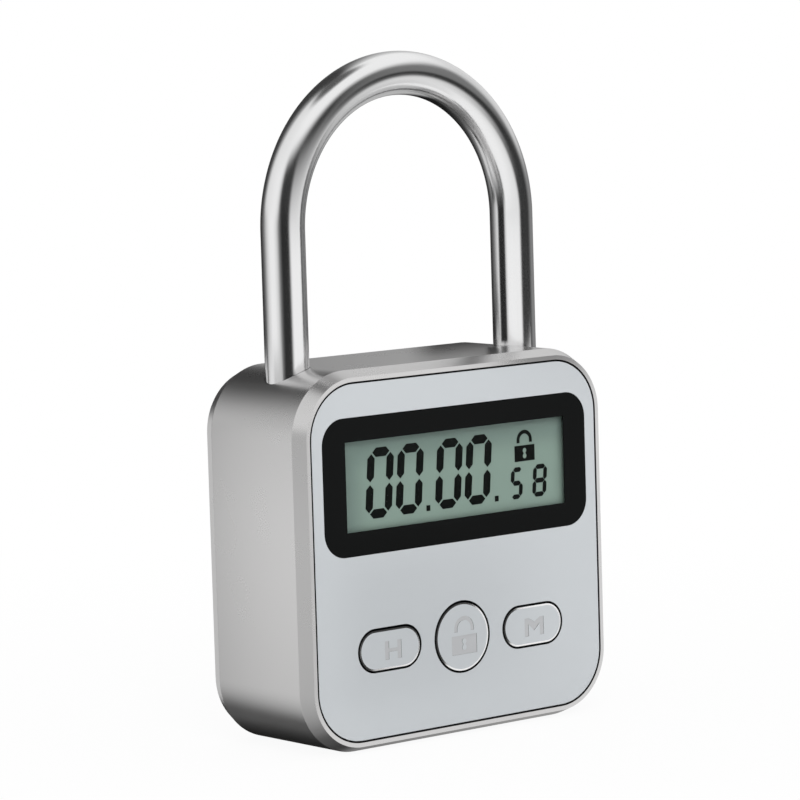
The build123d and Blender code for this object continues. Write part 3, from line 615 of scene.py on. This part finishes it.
contact = finish_named("contact_rubber")
layers = contact.noise(9000.0, 1.0, contact.stretched(1.0, 0.02, 0.02))
contact.surface(
    Base_Color=contact.blend(layers, (0.02, 0.018, 0.018), (0.3, 0.22, 0.18)),
    Roughness=contact.between(layers, 0.55, 0.75),
)
coat("zebra_strips", contact.owner)

# The display cell: two glasses with grey-green liquid crystal between them, and a
# polariser on the front, seen through the window. A painted shade darkens its top and left edges.
display = finish_named("display_glass")
grain = display.noise(7000.0, 2.0)
clouds = display.noise(60.0, 2.0)
glass_low, glass_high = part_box("lcd_glass")
DISPLAY_Z = (glass_low.z + glass_high.z) / 2
VIEW_HALF_W, VIEW_HALF_H = 0.02174, 0.00675
PAINTED_SHADE_W = 0.006
across, deep, high = display.axes()
# Painted shade: the crystal colour turns to a darker green towards the top and left edges.
from_top = display.fade(high, DISPLAY_Z + VIEW_HALF_H, DISPLAY_Z + VIEW_HALF_H - PAINTED_SHADE_W)
from_left = display.fade(across, -VIEW_HALF_W, -VIEW_HALF_W + PAINTED_SHADE_W)
lit = from_top * from_left
crystal = display.blend(grain * 0.3 + clouds * 0.7, (0.29, 0.39, 0.335), (0.32, 0.425, 0.365))
crystal_and_painted_shade = display.blend(lit, (0.2, 0.27, 0.24), crystal)
display.surface(Base_Color=crystal_and_painted_shade, Roughness=0.5, Specular_IOR_Level=0.2)
coat("lcd_glass", display.owner)


# The display's marks: four large zeros in two pairs, two points, two small digits and a
# padlock sign. They are etched electrodes, so they show as flat, sharp-edged dark shapes.
def flat_plate(name, outlines, y_front, y_back, material):
    """A thin plate from outlines in X and Z, in mm; an outline inside another is a hole."""
    sheet = bpy.data.curves.new(name, "CURVE")
    sheet.dimensions = "2D"
    sheet.fill_mode = "BOTH"
    for outline in outlines:
        spline = sheet.splines.new("POLY")
        spline.points.add(len(outline) - 1)
        for point, (x, z) in zip(spline.points, outline):
            point.co = (x * MM, z * MM, 0.0, 1.0)
        spline.use_cyclic_u = True
    sheet.extrude = (y_back - y_front) / 2 * MM
    drawn = placed(name + "_outline", sheet)
    bpy.context.view_layer.update()
    depsgraph = bpy.context.evaluated_depsgraph_get()
    mesh = bpy.data.meshes.new_from_object(drawn.evaluated_get(depsgraph))
    bpy.data.objects.remove(drawn)
    mesh.transform(Matrix.Rotation(math.radians(90.0), 4, "X"))
    mesh.transform(Matrix.Translation((0.0, (y_front + y_back) / 2 * MM, 0.0)))
    plate = closed(placed(name, mesh))
    dress(plate, [material])
    return plate


def bar_segment(x0, z0, x1, z1, stroke):
    """A display segment between two points: a bar with pointed ends."""
    along = Vector((x1 - x0, z1 - z0)).normalized()
    side = Vector((-along.y, along.x)) * stroke / 2
    neck = along * stroke / 2
    start, end = Vector((x0, z0)), Vector((x1, z1))
    return [
        start,
        start + neck - side,
        end - neck - side,
        end,
        end - neck + side,
        start + neck + side,
    ]


def digit(parts, width, height, stroke, gap):
    """The segments of one digit, drawn upright with its middle at the origin."""
    x, z = (width - stroke) / 2, (height - stroke) / 2
    places = {
        "top": (-x + gap, z, x - gap, z),
        "middle": (-x + gap, 0, x - gap, 0),
        "bottom": (-x + gap, -z, x - gap, -z),
        "upper_left": (-x, gap, -x, z - gap),
        "upper_right": (x, gap, x, z - gap),
        "lower_left": (-x, -z + gap, -x, -gap),
        "lower_right": (x, -z + gap, x, -gap),
    }
    return [bar_segment(*places[part], stroke) for part in parts]


def leaned(outlines, x, z):
    """Outlines moved to x and z and leaned to the right as display digits are."""
    return [[(px + x + DIGIT_LEAN * pz, pz + z) for px, pz in outline] for outline in outlines]


def arc_points(x, z, radius, start, end, steps):
    """Points along an arc, its angles in degrees."""
    turns = [math.radians(start + (end - start) * step / steps) for step in range(steps + 1)]
    return [(x + radius * math.cos(turn), z + radius * math.sin(turn)) for turn in turns]


def rectangle(x0, z0, x1, z1):
    return [(x0, z0), (x1, z0), (x1, z1), (x0, z1)]


def padlock_sign(x, z, width, height, bow_w, bow_top, stroke, foot_gap):
    """A padlock sign: a bow with a gap under its feet, over a body."""
    radius = bow_w / 2
    inner_r = radius - stroke
    bow_z = bow_top - radius
    foot_z = z + height + foot_gap
    over = arc_points(x, bow_z, radius, 0, 180, BOW_STEPS)
    under = arc_points(x, bow_z, inner_r, 180, 0, BOW_STEPS)
    bow = [(x + radius, foot_z), *over, (x - radius, foot_z)]
    bow += [(x - inner_r, foot_z), *under, (x + inner_r, foot_z)]
    return [bow, rectangle(x - width / 2, z, x + width / 2, z + height)]


def keyhole(x, z, height, head_r, neck_w):
    """A keyhole: two rounds joined by a neck."""
    top_z, low_z = z + height / 2 - head_r, z - height / 2 + head_r
    swing = math.degrees(math.asin(neck_w / 2 / head_r))
    upper = arc_points(x, top_z, head_r, -90 + swing, 270 - swing, KEYHOLE_STEPS)
    lower = arc_points(x, low_z, head_r, 90 + swing, 450 - swing, KEYHOLE_STEPS)
    return [upper + lower]


MM = 0.001
DIGIT_LEAN = 0.086
INK_FRONT, INK_BACK = -11.035, -11.008
ZERO = ("top", "bottom", "upper_left", "upper_right", "lower_left", "lower_right")
FIVE = ("top", "middle", "bottom", "upper_left", "lower_right")
EIGHT = ZERO + ("middle",)
FIRST_ZERO_X, ZERO_RISE = -14.55, 0.05
DIGIT_STEP, PAIR_STEP = 5.87, 13.62
POINTS_X, POINT_HALF_W = (-5.2, 8.52), 0.38
POINT_FOOT_DROP, POINT_TOP_DROP = 5.22, 4.36
FIVE_X, EIGHT_X, SMALL_DROP = 12.68, 17.4, 2.85
SMALL_STROKE, SMALL_GAP = 0.74, 0.05
SIGN_X, SIGN_FOOT_RISE, SIGN_TOP_RISE, SIGN_KEYHOLE_RISE = 14.44, 0.42, 5.24, 1.64
BOW_STEPS, KEYHOLE_STEPS = 24, 20
middle_z = DISPLAY_Z / MM

ink = finish_named("display_ink")
etching = ink.noise(5000.0, 2.0)
ink.surface(
    Base_Color=ink.blend(etching, (0.0025, 0.0035, 0.003), (0.0045, 0.006, 0.005)),
    Roughness=0.6,
    Specular_IOR_Level=0.1,
)

pairs = Recipe("digit_pairs", Digit_Step="Vector", Pair_Step="Vector")
digit_places = pairs.node("GeometryNodeMeshLine", None, {
    "Count": 2,
    "Offset": pairs.given("Digit Step"),
})
pair_places = pairs.node("GeometryNodeMeshLine", None, {
    "Count": 2,
    "Offset": pairs.given("Pair Step"),
})
pair = pairs.node("GeometryNodeInstanceOnPoints", None, {
    "Points": digit_places,
    "Instance": pairs.geometry,
})
both_pairs = pairs.node("GeometryNodeInstanceOnPoints", None, {
    "Points": pair_places,
    "Instance": pair,
})
pairs.ends_in(both_pairs)
zero = digit(ZERO, width=5.12, height=10.6, stroke=1.4, gap=0.2)
first_zero = leaned(zero, FIRST_ZERO_X, middle_z + ZERO_RISE)
zeros = pairs.made_on(
    flat_plate("display_zeros", first_zero, INK_FRONT, INK_BACK, ink.owner),
    Digit_Step=(DIGIT_STEP * MM, 0.0, 0.0),
    Pair_Step=(PAIR_STEP * MM, 0.0, 0.0),
    Material=ink.owner,
)

point_low, point_high = middle_z - POINT_FOOT_DROP, middle_z - POINT_TOP_DROP
marks = []
for x in POINTS_X:
    marks.append(rectangle(x - POINT_HALF_W, point_low, x + POINT_HALF_W, point_high))
five = digit(FIVE, width=2.5, height=4.9, stroke=SMALL_STROKE, gap=SMALL_GAP)
eight = digit(EIGHT, width=2.85, height=5.0, stroke=SMALL_STROKE, gap=SMALL_GAP)
marks += leaned(five, FIVE_X, middle_z - SMALL_DROP)
marks += leaned(eight, EIGHT_X, middle_z - SMALL_DROP)
marks += padlock_sign(
    SIGN_X,
    middle_z + SIGN_FOOT_RISE,
    width=4.1,
    height=2.45,
    bow_w=3.12,
    bow_top=middle_z + SIGN_TOP_RISE,
    stroke=0.58,
    foot_gap=0.4,
)
marks += keyhole(SIGN_X, middle_z + SIGN_KEYHOLE_RISE, height=1.6, head_r=0.38, neck_w=0.4)
signs = flat_plate("display_signs", marks, INK_FRONT, INK_BACK, ink.owner)
for piece in (zeros, signs):
    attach(piece, "body")

# The window: a clear sheet of acrylic, cut to size, polished and pushed into the frame from
# behind. It lets the display through and mirrors only a little.
clear = finish_named("clear_window")
haze = clear.noise(300.0, 2.0)
sheer = clear.node("ShaderNodeBsdfTransparent", None, {"Color": (0.98, 0.985, 0.985, 1.0)})
gloss = clear.node("ShaderNodeBsdfPrincipled", None, {
    "Base Color": (0.02, 0.02, 0.02, 1.0),
    "Roughness": clear.between(haze, 0.03, 0.07),
    "IOR": 1.3,
})
clear.node("ShaderNodeOutputMaterial", None, {
    "Surface": clear.node("ShaderNodeMixShader", None, {
        0: clear.node("ShaderNodeFresnel", None, {"IOR": 1.12}),
        1: sheer,
        2: gloss,
    }),
})
LENS_FRONT, LENS_BACK = -11.8, -11.1
LENS_HALF_W, LENS_HALF_H = 22.39, 7.4
lens_outline = rectangle(-LENS_HALF_W, middle_z - LENS_HALF_H, LENS_HALF_W, middle_z + LENS_HALF_H)
window = flat_plate("window_sheet", [lens_outline], LENS_FRONT, LENS_BACK, clear.owner)
takes_over(window, "window_lens", "body")

# The window's frame: moulded in black plastic with a fine spark-eroded texture, and held
# in the panel's opening with its lip level with the panel.
frame_black = finish_named("frame_black")
texture = frame_black.noise(6500.0, 3.0)
frame_black.surface(
    Base_Color=frame_black.blend(texture, (0.0055, 0.006, 0.006), (0.008, 0.0085, 0.0085)),
    Roughness=frame_black.between(texture, 0.5, 0.62),
    Specular_IOR_Level=0.03,
    Normal=frame_black.relief(texture, 0.000008),
)


def on_face(edge):
    """Whether an edge lies in the padlock's front plane."""
    return all(abs(vert.co.y - body_low.y) < TOUCH for vert in edge.verts)


FRAME_EDGE_R = 0.00008
bezel = soften(copy_of("window_frame", "window_bezel"), FRAME_EDGE_R, on_face)
dress(bezel, [frame_black.owner])
takes_over(bezel, "window_frame", "body")

# The panel: an aluminium plate, bead-blasted and clear anodised, that closes the body. The
# walls of its holes and its back get a near-black painted shade, so that a thin black line runs round
# each key.
anodised = finish_named("satin_panel")
beads = anodised.noise(4800.0, 3.0)
tone = anodised.noise(45.0, 3.0)
tone_spread = anodised.between(tone, 0.2, 0.8)
anodised.surface(
    Base_Color=anodised.blend(tone_spread, (0.572, 0.6, 0.621), (0.597, 0.624, 0.646)),
    Metallic=0.15,
    Roughness=anodised.between(beads * 0.5 + tone * 0.5, 0.45, 0.52),
    Specular_IOR_Level=0.3,
    Normal=anodised.relief(beads, 0.000006),
)
# Painted shade: a near-black colour on hole walls and hidden faces, standing for the shade in the gaps
# round the keys.
painted_gap_shade = finish_named("painted_gap_shade")
gap_shade_mottle = painted_gap_shade.noise(3200.0, 2.0)
painted_gap_shade.surface(
    Base_Color=painted_gap_shade.blend(gap_shade_mottle, (0.006, 0.006, 0.006), (0.012, 0.012, 0.012)),
    Roughness=painted_gap_shade.between(gap_shade_mottle, 0.6, 0.75),
    Specular_IOR_Level=0.1,
)
PANEL_EDGE_R = 0.00007
PANEL_FACE_Y = body_low.y + PANEL_EDGE_R
FRONT_FACING = -0.3
FACE, WALL = 0, 1


def face_or_wall(face):
    """Picks the satin finish for the front, or the near-black painted shade for walls and what lies
    behind.
    """
    return FACE if face.normal.y <= FRONT_FACING and face.center.y < PANEL_FACE_Y else WALL


panel = soften(copy_of("front_panel", "panel_plate"), PANEL_EDGE_R, on_face)
dress(panel, [anodised.owner, painted_gap_shade.owner], face_or_wall)
takes_over(panel, "front_panel", "body")

# The three keys: faced with the panel's own aluminium, their sides and backs in the same
# near-black painted shade as the panel's hole walls, and engraved with an H, a padlock sign
# and an M. The edge of each face is cut to a narrow bright slope.
engraved = finish_named("engraved_floor")
cutting = engraved.noise(4200.0, 2.0)
engraved.surface(
    Base_Color=engraved.blend(cutting, (0.505, 0.512, 0.525), (0.54, 0.548, 0.562)),
    Metallic=0.15,
    Roughness=engraved.between(cutting, 0.55, 0.65),
    Specular_IOR_Level=0.3,
)

bright_rim = finish_named("bright_rim")
scuffs = bright_rim.noise(3000.0, 2.0)
bright_rim.surface(
    Base_Color=bright_rim.blend(scuffs, (0.84, 0.84, 0.84), (0.9, 0.9, 0.9)),
    Metallic=1.0,
    Roughness=bright_rim.between(scuffs, 0.12, 0.2),
)
CHAMFER_DEPTH, RIM_DROP = 0.00025, 0.00005
RIM_STEEPEST, RIM_FLATTEST = -0.95, -0.995
FLOOR, RIM = 2, 3
KEY_CREASE = math.radians(5.0)
CUTTER_REACH, ENGRAVING_DEPTH = 1.0, 0.05
FLOOR_Y = body_low.y + ENGRAVING_DEPTH * MM
H_BAR = 0.52
M_ARM, M_VALLEY, M_SLANT = 0.3, 0.45, 1.7
H_ASIDE, H_DROP = 0.6, 0.2
M_ASIDE, M_DROP = 0.3, 0.25
LOCK_ASIDE, LOCK_FOOT_DROP, LOCK_TOP_RISE, LOCK_KEYHOLE_DROP = 0.35, 2.7, 3.15, 1.2


def key_finish(face):
    """Picks a key's bright rim, which slopes a little, its engraved floors, its face or its walls in
    painted shade.
    """
    if RIM_FLATTEST < face.normal.y < RIM_STEEPEST:
        return RIM
    if face.normal.y <= FRONT_FACING and abs(face.center.y - FLOOR_Y) < TOUCH:
        return FLOOR
    return face_or_wall(face)


def letter_h(x, z, width, height, stroke):
    """The outline of an H round a middle point."""
    half_w, half_h, half_bar = width / 2, height / 2, H_BAR / 2
    inner = half_w - stroke
    return [[
        (x - half_w, z - half_h), (x - inner, z - half_h), (x - inner, z - half_bar),
        (x + inner, z - half_bar), (x + inner, z - half_h), (x + half_w, z - half_h),
        (x + half_w, z + half_h), (x + inner, z + half_h), (x + inner, z + half_bar),
        (x - inner, z + half_bar), (x - inner, z + half_h), (x - half_w, z + half_h),
    ]]


def letter_m(x, z, width, height, stroke):
    """The outline of an M round a middle point."""
    half_w, half_h = width / 2, height / 2
    inner = half_w - stroke
    arm = z + half_h * M_ARM
    valley = z - half_h * M_VALLEY
    return [[
        (x - half_w, z - half_h), (x - inner, z - half_h), (x - inner, arm),
        (x, valley), (x + inner, arm), (x + inner, z - half_h),
        (x + half_w, z - half_h), (x + half_w, z + half_h), (x + inner, z + half_h),
        (x, valley + stroke * M_SLANT), (x - inner, z + half_h), (x - half_w, z + half_h),
    ]]


def triangulated(piece):
    """Splits a piece's faces into triangles, so that a cut round a hole stays flat."""
    made = bmesh.new()
    made.from_mesh(piece.data)
    bmesh.ops.triangulate(made, faces=made.faces)
    made.to_mesh(piece.data)
    made.free()


def rimmed(piece):
    """Brings the edge of a key's chamfer forward, so that it slopes only a little."""
    for vert in piece.data.vertices:
        if TOUCH < vert.co.y - body_low.y < CHAMFER_DEPTH + TOUCH:
            vert.co.y = body_low.y + RIM_DROP


def engraved_key(node, name, body_name, outlines):
    """A key with a sloped rim, and with the outlines cut a little way into its face."""
    key = copy_of(node, name)
    rimmed(key)
    triangulated(key)
    face_y = body_low.y / MM
    front, floor_y = face_y - CUTTER_REACH, face_y + ENGRAVING_DEPTH
    cutter = flat_plate(name + "_cutter", outlines, front, floor_y, engraved.owner)
    cut = key.modifiers.new("engraving", "BOOLEAN")
    cut.object = cutter
    cut.operation = "DIFFERENCE"
    cut.solver = "EXACT"
    plain_mesh(key)
    bpy.data.objects.remove(cutter)
    triangulated(key)
    closed(key, KEY_CREASE)
    # The walls and backs take the near-black painted shade.
    dress(key, [anodised.owner, painted_gap_shade.owner, engraved.owner, bright_rim.owner], key_finish)
    takes_over(key, node, body_name)


def key_middle(node):
    """The middle of a key's face as X and Z, in mm."""
    low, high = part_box(node)
    return (low.x + high.x) / 2 / MM, (low.z + high.z) / 2 / MM


hour_x, hour_z = key_middle("hour_button")
lock_x, lock_z = key_middle("lock_button")
minute_x, minute_z = key_middle("minute_button")
hour_letter = letter_h(hour_x + H_ASIDE, hour_z - H_DROP, width=3.2, height=2.8, stroke=0.78)
minute_letter = letter_m(minute_x + M_ASIDE, minute_z - M_DROP, width=3.9, height=2.8, stroke=0.8)
lock_sign = padlock_sign(
    lock_x + LOCK_ASIDE,
    lock_z - LOCK_FOOT_DROP,
    width=5.0,
    height=2.9,
    bow_w=3.9,
    bow_top=lock_z + LOCK_TOP_RISE,
    stroke=0.62,
    foot_gap=0.6,
)
lock_sign += keyhole(
    lock_x + LOCK_ASIDE,
    lock_z - LOCK_KEYHOLE_DROP,
    height=1.75,
    head_r=0.42,
    neck_w=0.42,
)
engraved_key("hour_button", "hour_key_cap", "hour_key", hour_letter)
engraved_key("minute_button", "minute_key_cap", "minute_key", minute_letter)
engraved_key("lock_button", "lock_key_cap", "lock_key", lock_sign)

# The black rubber band that fills the gap between the panel and the body. It is cut from
# sheet and pressed in, and keeps rain out.
rubber = finish_named("black_rubber")
bloom = rubber.noise(1500.0, 3.0)
rubber.surface(
    Base_Color=rubber.blend(bloom, (0.004, 0.004, 0.004), (0.009, 0.009, 0.009)),
    Roughness=rubber.between(bloom, 0.65, 0.8),
    Specular_IOR_Level=0.1,
)
coat("panel_gasket", rubber.owner)

# The studio: a pale floor that only the shadow marks, a white surround with dark flags that
# the metal mirrors, and a soft lamp.
FLOOR_HALF_W = 4.0
SHADOW_NEAR, SHADOW_FAR, WHITE_IN_SHADOW = 0.06, 0.22, 0.93
PAPER, ROOM_GREY, WHITE = (0.9, 0.9, 0.9), (0.85, 0.85, 0.85), (1.0, 1.0, 1.0)
floor_mesh = bpy.data.meshes.new("floor")
floor_mesh.from_pydata(
    [(x * FLOOR_HALF_W, y * FLOOR_HALF_W, 0.0) for x, y in ((-1, -1), (1, -1), (1, 1), (-1, 1))],
    [],
    [(0, 1, 2, 3)],
)
floor = placed("floor", floor_mesh)
paper = finish_named("floor_paper")
across, deep, high = paper.axes()
outward = paper.maths("SQRT", across * across + deep * deep)
bare = paper.fade(outward, SHADOW_NEAR, SHADOW_FAR)
seen_directly = paper.node("ShaderNodeLightPath", output="Is Camera Ray")
matt = paper.node("ShaderNodeBsdfDiffuse", None, {"Color": (*PAPER, 1.0)})
white = paper.node("ShaderNodeEmission", None, {"Color": (*WHITE, 1.0), "Strength": 1.0})
shown = paper.node("ShaderNodeMixShader", None, {
    0: seen_directly * paper.between(bare, WHITE_IN_SHADOW, 1.0),
    1: matt,
    2: white,
})
paper.node("ShaderNodeOutputMaterial", None, {"Surface": shown})
floor_mesh.materials.append(paper.owner)
floor.visible_glossy = False

surround = bpy.data.worlds.new("studio")
bpy.context.scene.world = surround
room = Finish(surround)
across, deep, high = room.axes(room.node("ShaderNodeTexCoord", output="Generated"))
CAMERA_BEARING = math.radians(270.0 + VIEW_TURN)
ahead = across * math.cos(CAMERA_BEARING) + deep * math.sin(CAMERA_BEARING)
aside = deep * math.cos(CAMERA_BEARING) - across * math.sin(CAMERA_BEARING)
round_the_room = room.maths("ARCTAN2", aside, ahead) / (2 * math.pi) + 0.5


def seen_around(*pairs):
    """Greys round the room, at bearings in degrees: 0 is towards the camera, 180 away from it."""
    stops = [(0.5 + degrees / 360.0, grey) for degrees, grey in pairs]
    return room.node("ShaderNodeValToRGB", {"stops": stops}, {0: round_the_room})


level_light = seen_around(
    (-180, 0.08), (-145, 0.03), (-125, 0.1), (-110, 0.25), (-87, 0.78), (-68, 1.0), (-48, 1.0),
    (-33, 0.8), (-18, 0.18), (-5, 0.02), (100, 0.03), (124, 0.25), (150, 0.25), (180, 0.08),
)
low_light = seen_around(
    (-180, 0.01), (-165, 0.01), (-143, 0.05), (-122, 0.25), (-100, 0.5), (-75, 0.15), (-50, 0.1),
    (56, 0.1), (68, 0.6), (80, 0.8), (125, 0.5), (165, 0.55), (173, 0.45), (180, 0.01),
)
rising_light = seen_around(
    (-180, 0.48), (-172, 0.1), (-160, 0.04), (-135, 0.05), (-125, 0.1), (-112, 0.4), (-100, 0.85),
    (-40, 1.0), (-27, 0.85), (-13, 0.03), (58, 0.04), (80, 0.2), (105, 0.2), (124, 0.7),
    (165, 0.8), (180, 0.48),
)
high_light = seen_around(
    (-180, 0.5), (-164, 0.04), (-133, 0.05), (-111, 0.35), (-97, 0.85), (0, 1.0), (162, 1.0),
    (180, 0.5),
)
behind = seen_around((-180, 1.0), (-150, 0.0), (174, 0.0), (180, 1.0))
LOW_RISE_BEHIND = 0.22
LOW_FADE, FOOT_FADE = (-0.12, -0.34), (-0.75, -0.95)
RISING_FADE, HIGH_FADE, ZENITH_FADE = (0.02, 0.16), (0.42, 0.72), (0.93, 0.985)
FOOT_GREY, ZENITH_GREY = (0.12, 0.12, 0.12), (0.1, 0.1, 0.1)
down = room.fade(high - behind * LOW_RISE_BEHIND, *LOW_FADE)
underneath = room.blend(room.fade(high, *FOOT_FADE), low_light, FOOT_GREY)
overhead = room.blend(room.fade(high, *HIGH_FADE), rising_light, high_light)
overhead = room.blend(room.fade(high, *ZENITH_FADE), overhead, ZENITH_GREY)
below = room.blend(down, level_light, underneath)
mirrored = room.blend(room.fade(high, *RISING_FADE), below, overhead)
rays = room.node("ShaderNodeLightPath")
seen = room.blend(rays.output("Is Glossy Ray"), ROOM_GREY, mirrored)
seen = room.blend(rays.output("Is Camera Ray"), seen, WHITE)
room.node("ShaderNodeOutputWorld", None, {
    "Surface": room.node("ShaderNodeBackground", None, {"Color": seen, "Strength": 1.0}),
})


def faded(finish, where, fades):
    """The product of soft steps, each from 0 at its first place on an axis to 1 at its second."""
    share = 1.0
    for axis, start, end in fades:
        share = share * finish.fade(where[axis], start, end)
    return share


def card(name, start, end, low, high, fades, grey):
    """An upright studio card that only the metal mirrors, with soft edges where it fades."""
    (x0, y0), (x1, y1) = start, end
    corners = [(x0, y0, low), (x1, y1, low), (x1, y1, high), (x0, y0, high)]
    mesh = bpy.data.meshes.new(name)
    mesh.from_pydata(corners, [], [(0, 1, 2, 3)])
    finish = finish_named(name)
    where = dict(zip("xyz", finish.axes()))
    shade = grey(finish, where) if callable(grey) else grey
    lit = finish.node("ShaderNodeEmission", None, {"Strength": shade})
    bare = finish.node("ShaderNodeBsdfTransparent")
    cover = faded(finish, where, fades)
    shader = finish.node("ShaderNodeMixShader", None, {0: cover, 1: bare, 2: lit})
    finish.node("ShaderNodeOutputMaterial", None, {"Surface": shader})
    mesh.materials.append(finish.owner)
    piece = placed(name, mesh)
    for kind in ("camera", "diffuse", "transmission", "shadow", "volume_scatter"):
        setattr(piece, "visible_" + kind, False)


def front_grey(finish, where):
    """White, with a dark opening opposite the keys."""
    edges = (("x", -0.0195, -0.0175), ("z", 0.004, 0.006), ("z", 0.031, 0.027))
    return 1.0 - OPENING_DROP * faded(finish, where, edges)


def side_grey(finish, where):
    """Brightest opposite the front of the body's side, darker low down, dark far behind."""
    near_front = finish.fade(where["y"], 0.006, 0.018)
    towards_back = finish.fade(where["y"], 0.028, 0.058)
    far_behind = finish.fade(where["y"], 0.056, 0.072)
    off_floor = finish.fade(where["z"], -0.09, 0.03)
    near_top = finish.fade(where["z"], 0.028, 0.05)
    along_side = SIDE_GREY + FRONT_RISE * near_front - BACK_DROP * towards_back
    upward = finish.between(off_floor, FLOOR_SHARE, 1.0) - TOP_DROP * near_top
    return along_side * upward * (1.0 - FAR_DROP * far_behind)


OPENING_DROP = 0.95
SIDE_GREY, FRONT_RISE, BACK_DROP = 0.7, 0.28, 0.3
FLOOR_SHARE, TOP_DROP, FAR_DROP = 0.3, 0.14, 0.85
card(
    "front_card",
    start=(-0.028, -0.0182),
    end=(0.029, -0.0296),
    low=-0.005,
    high=0.104,
    fades=(("x", -0.0275, -0.0225), ("x", 0.028, 0.0215), ("z", 0.102, 0.07)),
    grey=front_grey,
)
card(
    "low_card",
    start=(0.021, -0.029),
    end=(0.09, -0.0428),
    low=-0.02,
    high=0.057,
    fades=(("x", 0.0215, 0.028), ("z", 0.055, 0.049)),
    grey=1.0,
)
card(
    "leg_flag",
    start=(0.0175, -0.0028),
    end=(0.0175, 0.001),
    low=0.0573,
    high=0.088,
    fades=(("y", -0.0026, -0.0018), ("y", 0.0008, 0.0), ("z", 0.0573, 0.058), ("z", 0.086, 0.078)),
    grey=0.02,
)
card(
    "side_card",
    start=(-0.06, -0.02),
    end=(-0.06, 0.16),
    low=-0.14,
    high=0.062,
    fades=(("z", 0.060, 0.052),),
    grey=side_grey,
)
card(
    "foot_flag",
    start=(0.009, 0.0122),
    end=(0.036, 0.0122),
    low=0.0573,
    high=0.066,
    fades=(("x", 0.010, 0.018), ("x", 0.035, 0.029), ("z", 0.065, 0.0595)),
    grey=0.03,
)
card(
    "back_card",
    start=(-0.051, 0.06),
    end=(-0.005, 0.06),
    low=-0.01,
    high=0.057,
    fades=(("x", -0.05, -0.043), ("x", -0.006, -0.013), ("z", 0.056, 0.05)),
    grey=0.72,
)

LAMP_PLACE, LAMP_TARGET = Vector((-0.45, -0.7, 0.75)), Vector((0.0, 0.0, 0.05))
LAMP_SIZE, LAMP_POWER = 0.5, 3.0
lamp = bpy.data.lights.new("key_lamp", "AREA")
lamp.size = LAMP_SIZE
lamp.energy = LAMP_POWER
holder = bpy.data.objects.new("key_lamp", lamp)
bpy.context.scene.collection.objects.link(holder)
holder.location = LAMP_PLACE
holder.rotation_euler = (LAMP_TARGET - LAMP_PLACE).to_track_quat("-Z", "Y").to_euler()
holder.visible_camera = False
holder.visible_glossy = False
